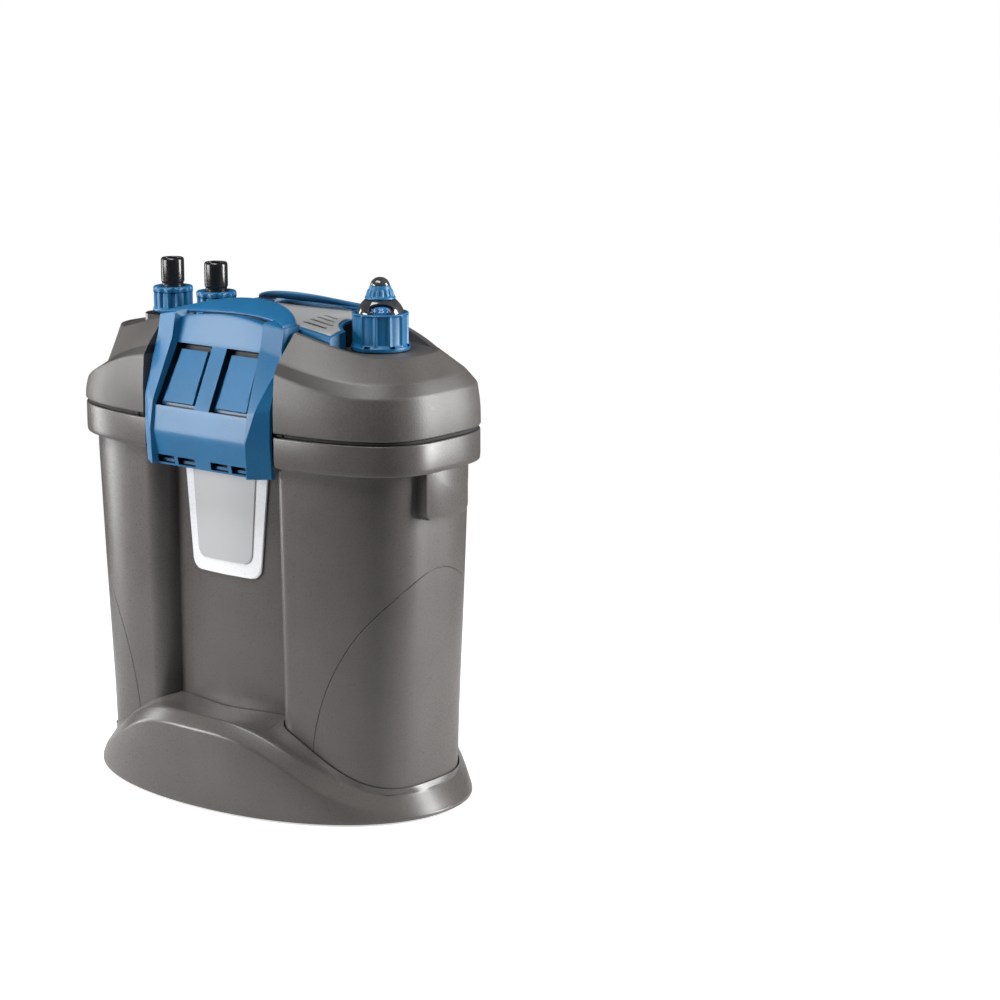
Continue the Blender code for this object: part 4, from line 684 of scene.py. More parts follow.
class FILTER_OT_foot(bpy.types.Operator):
    """Build the flared foot"""
    bl_idname = "filter.foot"
    bl_label = "Foot"

    def execute(self, context):
        piece(skin("flared_foot", foot_rings(), "loop"), casing_plastic(), "filter", ["base_foot"])
        return {"FINISHED"}


# ---------------------------------------------------------------- label plate

def plate_rings(rows, out, thickness):
    """A plate whose half-width is read at each height, bent to the panel's parabola."""
    heights = np.array([row[0] for row in rows])
    halves = np.array([row[1] for row in rows])
    share = np.linspace(-1, 1, 33)
    rings = []
    edge = 0.0004
    for inward, lift in ((0, 0), (0, thickness - edge), (edge, thickness)):
        half = (halves - inward)[:, None]
        x = half * share
        z = heights[:, None] + np.where(heights[:, None] < heights.mean(), inward, -inward)
        rings.append(np.stack([x, -panel_depth(x) - out - lift, np.broadcast_to(z, x.shape)], -1))
    back, side, front = rings
    return np.concatenate([front, side[:, ::-1], back[:, ::-1]], 1)


def rounded_rows(top, bottom, top_half, bottom_half, corner):
    """Half-width at each height of a tapering plate with round lower corners."""
    heights = np.linspace(top, bottom + corner, 14)
    rows = [(z, bottom_half + (top_half - bottom_half) * (z - bottom) / (top - bottom)) for z in heights]
    base = rows[-1][1]
    for turn in np.linspace(0, math.pi / 2, 10)[1:]:
        rows.append((bottom + corner * (1 - math.sin(turn)), base - corner * (1 - math.cos(turn)) * 0.98))
    return rows


class FILTER_OT_label(bpy.types.Operator):
    """Build the bare label plate"""
    bl_idname = "filter.label"
    bl_label = "Label plate"

    def execute(self, context):
        low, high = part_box("label_frame")
        field_low, field_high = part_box("label_field")
        rows = rounded_rows(high.z, low.z, high.x, 0.0325, 0.009)
        field_rows = rounded_rows(field_high.z, field_low.z, field_high.x, 0.0258, 0.0075)
        piece(skin("label_border", plate_rings(rows, 0.0006, 0.0012)), plate_plastic(), "filter",
              ["label_frame"])
        piece(skin("label_panel", plate_rings(field_rows, 0.0021, 0.0005)), field_plastic(), "filter",
              ["label_field"])
        return {"FINISHED"}


# ---------------------------------------------------------------- lid

LID_FRONT = np.unique(np.concatenate([
    np.linspace(0, BAY_X, 24), np.linspace(BAY_X + 0.0006, 0.085, 14)]))
LID_STEPS = 56
DECK = 0.3245
INLET_X = -0.103
OUTLET_X = -0.059
PIPE_HOLE = 0.0098
HEATER_HOLE = 0.0126
# Half-lengths to the right and left, half-depth and power: skirt, bulge, lower and upper crease, rim
LID_SHAPES = ((LID_HIGH.x, LID_HIGH.x, 0.0742, COLLAR_POWER), (0.1592, 0.1592, 0.0740, COLLAR_POWER),
              (0.1573, 0.1573, 0.0725, COLLAR_POWER), (0.1515, 0.1430, 0.0680, 3.1),
              (0.1370, 0.1400, 0.0520, 2.7))
# Right then left side: start height, climb, where it begins in X, its run, the most of it taken, power
LOWER_CREASE = ((0.3010, 0.0120, 0.125, 0.065, 1, 1.32), (0.3140, -0.0240, -0.055, 0.083, 9, 1.6))
UPPER_CREASE = ((0.3103, 0.0115, 0.125, 0.065, 1, 1.32), (0.3220, -0.0185, -0.058, 0.056, 9, 1.4))


def lid_outline(right, left, depth, power):
    return outline(right, left, depth, power, LID_FRONT, LID_STEPS)


def bay_depth(height):
    """Depth of the lid wall behind a latch: two straight slopes that meet at the deck."""
    return np.interp(height, (0.281, 0.323, 0.339), (0.069, 0.050, 0.0455))


def in_bay(shape, height):
    """Hold an outline back inside the latch bays."""
    x, y = shape
    limit = bay_depth(height)
    return x, np.where(np.abs(x) <= BAY_X + 1e-6, np.clip(y, -limit, limit), y)


def crease(x, sides):
    """Height of a crease: its start, plus its climb times a power of the share of its run to the left."""
    right, left = [start + climb * np.clip((begin - x) / run, 0, most) ** power
                   for start, climb, begin, run, most, power in sides]
    return np.where(x > 0, right, left)


def lid_rim(x):
    """Height of the rim: a straight slope up from each end, level between the bays, and lower in them."""
    height = 0.325 + 0.26 * np.maximum(0, 0.118 - np.abs(x))
    height = np.minimum(height, 0.325 + 0.26 * (0.118 - BAY_X))
    return np.where(np.abs(x) <= BAY_X + 1e-6, np.minimum(height, 0.330), height)


def lid_rings():
    """Deck, rim, two creases and skirt, then the underside."""
    base = LID_LOW.z
    skirt, bulge, lower, upper, rim = [lid_outline(*shape) for shape in LID_SHAPES]
    z_lower = crease(lower[0], LOWER_CREASE)
    z_upper = crease(upper[0], UPPER_CREASE)
    z_rim = lid_rim(rim[0])
    z_bulge = base + 0.5 * (z_lower - base)
    edge = in_bay(rim, z_rim)
    deck = inset(edge, 0.0035)
    plan = [(deck, DECK, 0.8 * MM), (deck, np.maximum(DECK + 0.0003, z_rim - 0.0004), 0.5 * MM),
            (edge, z_rim, 1.0 * MM), (in_bay(upper, z_upper), z_upper, 1.6 * MM),
            (in_bay(lower, z_lower), z_lower, 1.6 * MM), (in_bay(bulge, z_bulge), z_bulge, 5 * MM),
            (in_bay(skirt, base), base, 1.2 * MM),
            (inset(in_bay(skirt, base), 0.003), base, 0),
            (inset(in_bay(lower, z_lower), 0.003), z_lower - 0.002, 0),
            (inset(in_bay(upper, z_upper), 0.003), z_upper - 0.002, 0),
            (inset(edge, 0.0045), DECK - 0.003, 0)]
    made, row = rounded(plan, 5)
    # Painted shade: mark the chamfer band between the creases, fully beside the latches and fading to a
    # quarter towards the ends.
    shade_band = np.zeros(made.shape[:2])
    starts = np.flatnonzero(row == 3)
    ends = np.flatnonzero(row == 4)
    fade = np.clip(1.15 - (np.abs(lower[0]) - 0.060) / 0.085, 0.25, 1.0)
    shade_band[starts[-1]:ends[0] + 1] = fade
    return made, shade_band


HINGE_Y = 0.0445
HINGE_Z = 0.3365
LUG_RADIUS = 0.004
PIN_HOLE = 0.0024
EAR_X = (0.0505, 0.0545)
LUGS_X = ((0.0469, 0.0501), (0.0549, 0.0581))


def pin_bar(places, radius, side):
    """Rings of a round bar on the latch hinge axis."""
    low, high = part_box("front_hinge_pin_left")
    y = side * -(low.y + high.y) / 2
    z = (low.z + high.z) / 2
    turn = full_turn(24)
    return [section(x, y + radius * np.cos(turn), z + radius * np.sin(turn)) for x in places]


def hinge_ear(side, end):
    """Rings of a lid ear: a post with a round head, carried along X."""
    turn = np.linspace(0, math.pi, 13)
    y = np.concatenate([HINGE_Y + LUG_RADIUS * np.cos(turn), [HINGE_Y - LUG_RADIUS, HINGE_Y + LUG_RADIUS]])
    z = np.concatenate([HINGE_Z + LUG_RADIUS * np.sin(turn), [DECK - 0.0015, DECK - 0.0015]])
    return [section(end * x, side * y, z) for x in EAR_X]


class FILTER_OT_lid(bpy.types.Operator):
    """Build the lid, its gasket, heater socket and gland boss"""
    bl_idname = "filter.lid"
    bl_label = "Lid"

    def execute(self, context):
        material = lid_plastic()
        rings, shade_band = lid_rings()
        mesh = skin("lid_casing", rings, marks={"shade_band": shade_band})
        bores = [(HEATER, HEATER_HOLE, 64), ((INLET_X, 0), PIPE_HOLE, 48), ((OUTLET_X, 0), PIPE_HOLE, 48)]
        for centre, radius, steps in bores:
            tool = skin("bore", lathe([(radius, DECK - 0.02), (radius, DECK + 0.02)], centre, steps))
            mesh = cut(mesh, tool)
        piece(mesh, material, "filter", ["lid_shell"], angle=30)
        socket = turned("heater_socket", [(0.0172, 0.3350), (0.0172, DECK - 0.001), (0.0128, DECK - 0.001),
                                          (0.0128, 0.3350)], HEATER)
        piece(socket, material, "filter")
        gland = upright_axis(GLAND_LOW, GLAND_HIGH)
        top = GLAND_LOW.z - 0.0003
        boss = turned("gland_boss", [(0.0070, top), (0.0072, top - 0.0075), (0.0028, top - 0.0075),
                                     (0.0028, top)], gland, steps=48)
        piece(boss, material, "filter")
        for side, word in ((-1, "front"), (1, "rear")):
            for end, hand in ((-1, "left"), (1, "right")):
                ear = skin(f"hinge_ear_{word}_{hand}", hinge_ear(side, end))
                reach = (end * (EAR_X[0] - 0.001), end * (EAR_X[1] + 0.001))
                ear = cut(ear, skin("bore", pin_bar(reach, PIN_HOLE, side)))
                piece(ear, material, "filter")
        outer = inset(collar_outline(), 0.0012)
        inner = inset(collar_outline(), 0.0075)
        low, high = GASKET_LOW.z, GASKET_HIGH.z
        plan = [(outer, low), (outer, high), (inner, high), (inner, low)]
        made, _ = rounded([(*row, 0.5 * MM) for row in plan], loop=True)
        piece(skin("seam_gasket", made, "loop"), black_rubber(), "filter", ["lid_gasket"])
        return {"FINISHED"}


# ---------------------------------------------------------------- latches

WINDOW_LOW = 0.2812
WINDOW_TOP = 0.3242
WINDOW_IN = 0.007
WINDOW_OUT = (0.0444, 0.0410)
RIDGE_X = 0.0452
RIDGE_GAP = 0.001
EDGE_X = 0.060
FACE_SAG = 0.0055            # how far the face curves down at its sides, above the windows
FACET_SLOPE = 0.12
FACET_HEIGHTS = (0.262, 0.318)    # the facets meet at the ridge below these, and at the edge above
CHANNEL_DEPTH = 0.0056
SLOT_DEPTH = 0.0065
SLOTS_DOWN = (0.700, 0.938)       # shares of the lowest run of the profile
SLOTS_ACROSS = ((0.0134, 0.4585), (0.548, 0.980))    # shares of the cell's width
HOOK_X = 0.052
ARCH_REACH = 0.0585
ARCH_FOOT_TOP = 0.3447
ARCH_RISE = 0.0103
ARCH_FRONT = (0.0575, 0.0405)
ARCH_BACK = (0.0450, 0.0200)
ARCH_TILT = 0.0078
ARCH_HALF_THICK = 0.0016
ARCH_POWER = 2.2
ARCH_LEAN = 0.8
ARCH_OVAL = 0.55
PROFILE_MIDDLE = np.array([(0.042, 0.3448), (0.0533, 0.3465), (0.0586, WINDOW_TOP),
                           (0.0791, WINDOW_LOW), (0.0817, 0.2630), (0.0775, 0.2390)])
PROFILE_RIDGE = np.array([(0.042, 0.3460), (0.0590, 0.3455), (0.0632, 0.3270),
                          (0.0805, 0.2850), (0.0840, 0.2650), (0.0825, 0.2390)])
PROFILE_EDGE = np.array([(0.042, 0.3425), (0.0545, 0.3425), (0.0615, 0.3220),
                         (0.0735, 0.2870), (0.0743, 0.2650), (0.0725, 0.2390)])
INNER_HOOK = np.array([(0.0745, 0.2390), (0.0745, 0.2430), (0.062, 0.2430), (0.062, 0.2458),
                       (0.0663, 0.2471), (0.0755, 0.2471)])
INNER_SLIM = np.array([(0.0690, 0.2390), (0.0695, 0.2430), (0.0700, 0.2440), (0.0703, 0.2450),
                       (0.0708, 0.2460), (0.0712, 0.2471)])
INNER_PANEL = np.array([(0.0735, 0.2630), (0.0728, 0.2830), (0.0525, 0.3230), (0.0495, 0.3395),
                        (0.042, 0.3410)])
INNER_RAIL = np.array([(0.0718, 0.2630), (0.0712, 0.2830), (0.0532, 0.3230), (0.0500, 0.3385),
                       (0.042, 0.3395)])


def along(points, place, blur):
    """Points along a chain of straight runs, averaged over a short reach so its corners are round."""
    offsets = np.linspace(-blur, blur, 9)
    total = 0.0
    last = len(points) - 1
    for offset in offsets:
        at = np.clip(place + offset, 0, last)
        total = total + np.stack([np.interp(at, np.arange(last + 1), points[:, k]) for k in (0, 1)], -1)
    return total / len(offsets)


def latch_rows():
    """Places down the profile, one unit to each straight run, close together at windows and slots."""
    edges = np.array([0, 0.0006, 0.0040, 0.0860, 0.0866, 0.0906])    # the channel's two walls
    window = np.concatenate([edges, np.linspace(0.10, 0.90, 20), 1 - edges[:0:-1]])
    slots = np.array([0, 0.15, 0.3, 0.5, 0.66, 0.700, 0.701, 0.708, 0.82, 0.930, 0.937, 0.938, 0.96, 1.0])
    return np.concatenate([np.linspace(0, 1, 9)[:-1], 1 + np.linspace(0, 1, 18)[:-1], 2 + window,
                           3 + np.linspace(0, 1, 12)[:-1], 4 + slots])


def ramp(value, start, width=0.13 * MM):
    """0 before the start, 1 past its width, and a straight line between."""
    return np.clip((value - start) / width, 0, 1)


def sharp(value, start):
    """A ramp so short that it marks an edge."""
    return ramp(value, start, 0.02 * MM)


def latch_columns():
    """Places across half a latch: the bar, the window cell, then the rail's two facets."""
    bar = np.linspace(0, 1, 5)[:-1]
    gaps = np.array([0, 0.0006, 0.0046, 0.1110, 0.1116, 0.1156])
    slots = [0.0134, 0.0140, 0.0174, 0.4545, 0.4579, 0.4585, 0.548, 0.5486, 0.552, 0.976, 0.9794, 0.980]
    cell = 1 + np.unique(np.concatenate([gaps, 1 - gaps, slots, np.linspace(0.13, 0.87, 13)]))
    rail = 2 + np.concatenate([[0.02], np.linspace(0.06, 0.97, 7), [1.0], 1 + np.linspace(0.04, 1, 7)])
    return np.concatenate([bar, cell, rail])


def latch_surface(side):
    """Outer face of a latch as a grid over (column, row), with its windows and slots sunk in.

    A row is a place down three profiles (middle, ridge, edge).  The rail has two facets that meet
    on a diagonal from the ridge near the bottom to the edge near the top.
    """
    rows = latch_rows()
    columns = latch_columns()
    middle = along(PROFILE_MIDDLE, rows, 0.05)
    ridge = along(PROFILE_RIDGE, rows, 0.05)
    edge = along(PROFILE_EDGE, rows, 0.05)
    c = columns[:, None]
    height = middle[None, :, 1]
    share_down = np.clip((WINDOW_TOP - height) / (WINDOW_TOP - WINDOW_LOW), 0, 1)
    window_out = WINDOW_OUT[1] + (WINDOW_OUT[0] - WINDOW_OUT[1]) * share_down
    g = np.clip(c - 1, 0, 1)
    x_cell = np.where(c < 1, WINDOW_IN * c, WINDOW_IN + (window_out - WINDOW_IN) * g)
    sag = FACE_SAG * (x_cell / RIDGE_X) ** 2 * np.clip(2 - rows, 0, 1)[None, :]
    d_cell = np.broadcast_to(middle[None, :, 0], x_cell.shape)
    z_cell = middle[None, :, 1] - sag
    reach = (ridge[:, 1] - FACET_HEIGHTS[0]) / (FACET_HEIGHTS[1] - FACET_HEIGHTS[0])
    reach = np.clip(reach, 0.03, 0.97)[None, :]
    w = c - 2
    fraction = np.where(w <= 1, np.clip(w, 0, 1) * reach, reach + (1 - reach) * np.clip(w - 1, 0, 1))
    ridge_x = window_out + RIDGE_GAP
    x_rail = ridge_x + (EDGE_X - ridge_x) * fraction
    width = EDGE_X - ridge_x
    d_crease = ridge[None, :, 0] - FACET_SLOPE * width * reach
    over = np.clip(w - 1, 0, 1)
    d_rail = np.where(w <= 1, ridge[None, :, 0] - FACET_SLOPE * width * fraction,
                      d_crease + (edge[None, :, 0] - d_crease) * over)
    z_rail = ridge[None, :, 1] + (edge[None, :, 1] - ridge[None, :, 1]) * fraction
    in_rail = c > 2
    x = np.where(in_rail, x_rail, x_cell)
    depth = np.where(in_rail, d_rail, d_cell)
    z = np.where(in_rail, z_rail, z_cell)
    down = np.clip(rows - 2, 0, 1)[None, :] * (WINDOW_TOP - WINDOW_LOW)
    span = window_out - WINDOW_IN
    in_cell = (c >= 1) & (c <= 2) & (rows[None, :] >= 2) & (rows[None, :] <= 3)
    border = np.minimum(np.minimum(g * span, (1 - g) * span),
                        np.minimum(down, WINDOW_TOP - WINDOW_LOW - down) * 1.1)
    border = np.where(in_cell, border, -1.0)
    gap = sizes().window_gap
    sunk = (CHANNEL_DEPTH * ramp(border, 0.02 * MM)
            - (CHANNEL_DEPTH - sizes().window_depth) * ramp(border, gap))
    # Painted shade: the channel round each window, and below it the slots, are marked to be coloured near
    # black.
    recess_shade = sharp(border, 0.0) - sharp(border, gap + 0.11 * MM)
    run = np.clip(rows - 4, 0, 1)[None, :]
    across = (c >= 1) & (c <= 2) & (rows[None, :] > 4)

    def slots(narrow, slack):
        """1 inside the two slots under each window, 0 outside, with straight ramps between."""
        def within(value, ends):
            return ramp(value, ends[0] + slack, narrow) - ramp(value, ends[1] - slack - narrow, narrow)
        return within(run, SLOTS_DOWN) * sum(within(g, ends) for ends in SLOTS_ACROSS) * across

    sunk = sunk + SLOT_DEPTH * slots(0.0030, 0.0006)
    recess_shade = np.maximum(recess_shade, slots(0.0006, 0.0))
    tangent = np.gradient(np.stack([middle[:, 0], middle[:, 1]], -1), axis=0)
    tangent /= np.linalg.norm(tangent, axis=1, keepdims=True) + 1e-12
    depth = depth + sunk * tangent[None, :, 1]
    z = z - sunk * tangent[None, :, 0]
    return x, side * depth, z, recess_shade


def latch_mesh(name, side):
    """Closed latch: the outer face, then the hook and inner face behind it."""
    x, y, z, recess_shade = latch_surface(side)
    end_x = x[:, -1]
    inner = []
    for place in end_x:
        hooked = place <= HOOK_X
        low = INNER_HOOK if hooked else INNER_SLIM
        high = INNER_PANEL if place <= RIDGE_X + 0.001 else INNER_RAIL
        inner.append(np.concatenate([low, high]))
    inner = np.stack(inner)
    back_x = np.broadcast_to(end_x[:, None], inner.shape[:2])
    full_x = np.concatenate([x, back_x], 1)
    full_y = np.concatenate([y, side * inner[:, :, 0]], 1)
    full_z = np.concatenate([z, inner[:, :, 1]], 1)
    mark = np.concatenate([recess_shade, np.zeros(inner.shape[:2])], 1)
    half = np.stack([full_x, full_y, full_z], -1)
    mirrored = half[:0:-1] * (-1, 1, 1)
    rings = np.concatenate([mirrored, half])
    marks = np.concatenate([mark[:0:-1], mark])
    return skin(name, rings, marks={"recess_shade": marks})


def arch_mesh(name, side):
    """Handle: a squared oval carried along X over an arch.

    The rise is 1 less the 2.2th power of the share of the way out; height, depth and tilt follow it.
    """
    turn = full_turn(28)
    rings = []
    for place in np.linspace(-1, 1, 73):
        rise = 1 - abs(place) ** ARCH_POWER
        top = ARCH_FOOT_TOP + ARCH_RISE * rise
        front = ARCH_FRONT[0] + (ARCH_FRONT[1] - ARCH_FRONT[0]) * rise ** ARCH_LEAN
        back = ARCH_BACK[0] + (ARCH_BACK[1] - ARCH_BACK[0]) * rise ** ARCH_LEAN
        tilt = ARCH_TILT * rise
        half_y = (front - back) / 2
        u = np.sign(np.cos(turn)) * np.abs(np.cos(turn)) ** ARCH_OVAL
        v = np.sign(np.sin(turn)) * np.abs(np.sin(turn)) ** ARCH_OVAL
        y = (front + back) / 2 + half_y * u
        z = top - ARCH_HALF_THICK - tilt * (0.5 + 0.5 * u) + ARCH_HALF_THICK * v
        rings.append(section(place * ARCH_REACH, side * y, z))
    return skin(name, np.stack(rings))


def lug_mesh(name, side, end, places):
    """A hinge lug: round below, straight up into the rail."""
    turn = np.linspace(math.pi, 2 * math.pi, 13)
    y = np.concatenate([HINGE_Y + LUG_RADIUS * np.cos(turn),
                        [HINGE_Y + LUG_RADIUS, HINGE_Y - LUG_RADIUS / 2]])
    z = np.concatenate([HINGE_Z + LUG_RADIUS * np.sin(turn), [HINGE_Z + 0.006, HINGE_Z + 0.006]])
    mesh = skin(name, [section(end * x, side * y, z) for x in places])
    reach = (end * (places[0] - 0.001), end * (places[1] + 0.001))
    return cut(mesh, skin("bore", pin_bar(reach, PIN_HOLE, side)))


class FILTER_OT_latches(bpy.types.Operator):
    """Build both latches with their arched handles"""
    bl_idname = "filter.latches"
    bl_label = "Latches"

    def execute(self, context):
        material = clip_plastic()
        for word, side in (("front", -1), ("rear", 1)):
            body = word + "_latch"
            plate = latch_mesh(word + "_latch_plate", side)
            piece(plate, material, body, [body], angle=32)
            piece(arch_mesh(word + "_handle", side), material, body, angle=60)
            for end, hand in ((-1, "left"), (1, "right")):
                for k, places in enumerate(LUGS_X):
                    lug = lug_mesh(f"{word}_lug_{hand}_{k + 1}", side, end, places)
                    piece(lug, material, body)
        return {"FINISHED"}


# ---------------------------------------------------------------- pump cover

SHADE_SHEET = (0.0257, 0.02625)
SHADE_SHEET_RADIUS = 0.0260
SHADE_SHEET_TURN = 62              # degrees to each side of the left
FRAME_BAY = 0.0262
PANEL_BAY = 0.0290
PANEL_THICK = 0.0012
SLOT_ROWS = (-0.029, -0.022, -0.015, -0.008)
SLOT_START = 0.052
SLOT_LAST_END = 0.074
SLOT_HALF = 0.0013
SLOT_FLOOR = 0.3365
SLOT_MARGIN = 0.0295


def crown(y):
    """Rise of the cover's rounded top: a parabola across its width."""
    return 0.0042 * (1 - (y / COVER_HIGH.y) ** 2)


def cover_edge(x):
    """Height of the cover's edge: level, then a straight fall towards the heater."""
    return 0.341 - 0.0045 * np.clip((x - 0.055) / 0.031, 0, 1)


def cover_frame_rings():
    """Sections across the cover from the left end to the heater end, with a rounded crown."""
    half = COVER_HIGH.y
    bend = np.array([half - 0.003, half - 0.0014, half - 0.0004, half])
    y = np.concatenate([-bend[::-1], np.linspace(-0.9, 0.9, 41) * half, bend])
    drop = np.interp(np.abs(y), bend, [0, 0.0003, 0.0012, 0.0028])
    rings = []
    for x in np.concatenate([np.linspace(COVER_LOW.x, 0.05, 20), np.linspace(0.052, COVER_HIGH.x, 36)]):
        z = cover_edge(x) + crown(y) - drop - 0.0003
        ys = np.concatenate([y, [half, -half]])
        zs = np.concatenate([z, [COVER_LOW.z, COVER_LOW.z]])
        rings.append(section(x, ys, zs))
    return np.stack(rings)


def heater_bay(radius):
    """A tall round cutter about the heater's axis."""
    return skin("bay", lathe([(radius, 0.30), (radius, 0.37)], HEATER, 128))


def slot_tool(y, start, end):
    """A slot cutter: two half circles joined by straight sides."""
    half = SLOT_HALF
    turn = np.linspace(-math.pi / 2, math.pi / 2, 9)
    xs = np.concatenate([end - half + half * np.cos(turn), start + half - half * np.cos(turn)])
    ys = np.concatenate([y + half * np.sin(turn), y + half * np.sin(-turn)])
    return skin("slot", [level((xs, ys), z) for z in (SLOT_FLOOR, 0.36)])


def grille_rings():
    """The pale top panel: the crown again, lifted a little and drawn in from the edges."""
    half = COVER_HIGH.y - 0.0035
    edge = 0.0006
    share = np.linspace(-1, 1, 61)
    rings = []
    for x in np.linspace(COVER_LOW.x + 0.003, 0.0835, 60):
        y = share * half
        lift = 0.0007 * (1 - np.clip((np.abs(y) - half + edge) / edge, 0, 1) ** 2)
        z = cover_edge(x) + crown(y) - 0.0003 + lift
        rings.append(section(x, np.concatenate([y, y[::-1]]), np.concatenate([z, z[::-1] - PANEL_THICK])))
    return np.stack(rings)


def liner_rings():
    """Painted shade: a thin black wall laid on the bay round the heater, darkening the gap beside the cap;
    its sections are turned about the heater.
    """
    rings = []
    for turn in np.radians(np.linspace(180 - SHADE_SHEET_TURN, 180 + SHADE_SHEET_TURN, 49)):
        x, y = HEATER[0] + SHADE_SHEET_RADIUS * math.cos(turn), SHADE_SHEET_RADIUS * math.sin(turn)
        top = cover_edge(x) + crown(y) - 0.0018
        near, far = SHADE_SHEET
        section = ((near, DECK + 0.0006), (far, DECK + 0.0006), (far, top), (near, top))
        rings.append([(HEATER[0] + r * math.cos(turn), r * math.sin(turn), z) for r, z in section])
    return np.array(rings)


class FILTER_OT_cover(bpy.types.Operator):
    """Build the pump cover with its vented panel"""
    bl_idname = "filter.cover"
    bl_label = "Pump cover"

    def execute(self, context):
        body = cut(skin("cover_frame", cover_frame_rings()), heater_bay(FRAME_BAY))
        panel = cut(skin("cover_panel", grille_rings()), heater_bay(PANEL_BAY))
        for y in SLOT_ROWS:
            near = HEATER[0] - math.sqrt(SLOT_MARGIN ** 2 - y ** 2)
            end = min(SLOT_LAST_END, near - 0.003)
            body = cut(body, slot_tool(y, SLOT_START, end))
            panel = cut(panel, slot_tool(y, SLOT_START, end))
        piece(body, clip_plastic(), "filter", ["pump_cover"], angle=40)
        # Painted shade: a black sheet over the bay wall beside the heater cap.
        piece(skin("bay_shade_sheet", liner_rings(), "cap"), black_rubber(), "filter")
        piece(panel, cover_plastic(), "filter", angle=40)
        return {"FINISHED"}


# ---------------------------------------------------------------- heater

CAP_RADIUS = 0.0199
CAP_FOOT_RADIUS = 0.0206
CAP_BORE = 0.0172
CAP_FLUTES = 12
CAP_NOTCHES = 7
NOTCH_RADIUS = 0.0212
NOTCH_HALF = 0.0022
NOTCH_IN = 0.0030
NOTCH_OUT = 0.0020
NOTCH_HEIGHTS = (0.0022, 0.0040)    # above the cap's foot
KNOB_FLUTES = 18
TIP_RADIUS = 0.0067
NUT_RIBS = 12


def fluting(count, depth, levels, sharpness):
    """Groove depth round a turned piece: 1 less a power of a cosine, so hollows part narrow ribs."""
    def scale(turn, k):
        wave = np.abs(np.cos(turn * count / 2)) ** sharpness
        return depth * (1 - wave) * levels[k]
    return scale


class FILTER_OT_heater_cap(bpy.types.Operator):
    """Build the fluted lock cap of the heater"""
    bl_idname = "filter.heater_cap"
    bl_label = "Heater cap"

    def execute(self, context):
        low = CAP_LOW.z
        top = CAP_HIGH.z
        outside = [(CAP_FOOT_RADIUS, low), (CAP_FOOT_RADIUS, low + 0.0026), (0.0200, low + 0.0030),
                   (CAP_RADIUS, low + 0.0048), (CAP_RADIUS, top - 0.0020), (CAP_RADIUS, top - 0.0008),
                   (0.0193, top), (0.0176, top)]
        inside = [(CAP_BORE, top - 0.0008), (CAP_BORE, 0.3416), (0.0145, 0.3416), (0.0145, 0.3396),
                  (0.0177, 0.3396), (0.0177, low)]
        marked = [0, 0, 0, 1, 1, 0, 0, 0, 0, 0, 0, 0, 0, 0]
        mesh = turned("heater_lock_cap", outside + inside, HEATER, 0.35 * MM, 336,
                      scale=fluting(CAP_FLUTES, 0.0011, marked, 16))
        for k in range(CAP_NOTCHES):
            turn = 2 * math.pi * (k + 0.5) / CAP_NOTCHES
            out = np.array([math.cos(turn), math.sin(turn)])
            middle = np.array(HEATER) + NOTCH_RADIUS * out
            across = np.array([-out[1], out[0]])
            corners = [middle + across * a - out * b for a, b in
                       ((-NOTCH_HALF, NOTCH_IN), (NOTCH_HALF, NOTCH_IN),
                        (NOTCH_HALF, -NOTCH_OUT), (-NOTCH_HALF, -NOTCH_OUT))]
            rings = [[(*corner, low + z) for corner in corners] for z in NOTCH_HEIGHTS]
            mesh = cut(mesh, skin("notch", rings))
        piece(mesh, clip_plastic(), "heater_cap", ["heater_cap"], angle=28)
        return {"FINISHED"}


DOME_RADIUS = 0.0166
DOME_TOP_RADIUS = 0.0109
DOME_KNEE = 0.3495
DOME_WALL = 0.0008
BEAD_RADIUS = 0.00065
WINDOW_TURN = math.radians(-90 + 42.8)    # the window faces to the front right
WINDOW_HALF = (0.0086, 0.0040)
WINDOW_Z = 0.3541
DIAL_PROFILE = ((0.0141, 0.3490), (0.0132, 0.3556), (0.0105, 0.3574))
DIGIT_Z = 0.3534
DIGIT_BEND = 0.0140
DIGIT_STEP = math.radians(24)
NUMBERS = range(20, 35)
NUMBER_IN_WINDOW = 25


def dome_profile():
    """Section of the dome: its radius shrinks with the 1.9th power of the share of height climbed."""
    foot = DOME_LOW.z
    top = DOME_HIGH.z
    rise = np.linspace(0, 1, 14)
    outer = [(DOME_RADIUS - (DOME_RADIUS - DOME_TOP_RADIUS) * s ** 1.9, DOME_KNEE + (top - DOME_KNEE) * s)
             for s in rise]
    inner = [(r - DOME_WALL, z - 0.0004) for r, z in outer[::-1][1:]]
    return ([(DOME_RADIUS, foot)] + outer + [(0.0043, top), (0.0043, top - 0.0012), (0.0098, top - 0.0012)]
            + inner + [(0.0152, 0.3462), (0.0141, 0.3462), (0.0141, foot)])


def window_tool():
    """A cutter with an ellipse for its section, pushed into the dome from its window side."""
    turn = full_turn(40)
    out = np.array([math.cos(WINDOW_TURN), math.sin(WINDOW_TURN)])
    across = np.array([-out[1], out[0]])
    rings = []
    for reach in (0.0115, 0.022):
        place = np.array(HEATER) + out * reach
        xy = place[None, :] + np.outer(WINDOW_HALF[0] * np.cos(turn), across)
        rings.append(np.column_stack([xy, WINDOW_Z + WINDOW_HALF[1] * np.sin(turn)]))
    return skin("window", rings)


def window_rim():
    """Rings of a round bead along the window's ellipse, laid on the dome's curve."""
    profile = np.array(dome_profile()[1:15])
    turn = full_turn(64)
    bead = full_turn(8)
    z = WINDOW_Z + WINDOW_HALF[1] * np.sin(turn)
    radius = np.interp(z, profile[:, 1], profile[:, 0])
    angle = WINDOW_TURN + np.arcsin(WINDOW_HALF[0] * np.cos(turn) / radius)
    rings = []
    for k in range(64):
        r = radius[k] + 0.00025 + BEAD_RADIUS * np.cos(bead)
        lift = BEAD_RADIUS * np.sin(bead)
        a = angle[k] + lift * np.cos(turn[k]) / radius[k]
        rings.append(np.stack([HEATER[0] + r * np.cos(a), r * np.sin(a), z[k] + lift * np.sin(turn[k])], -1))
    return np.stack(rings)


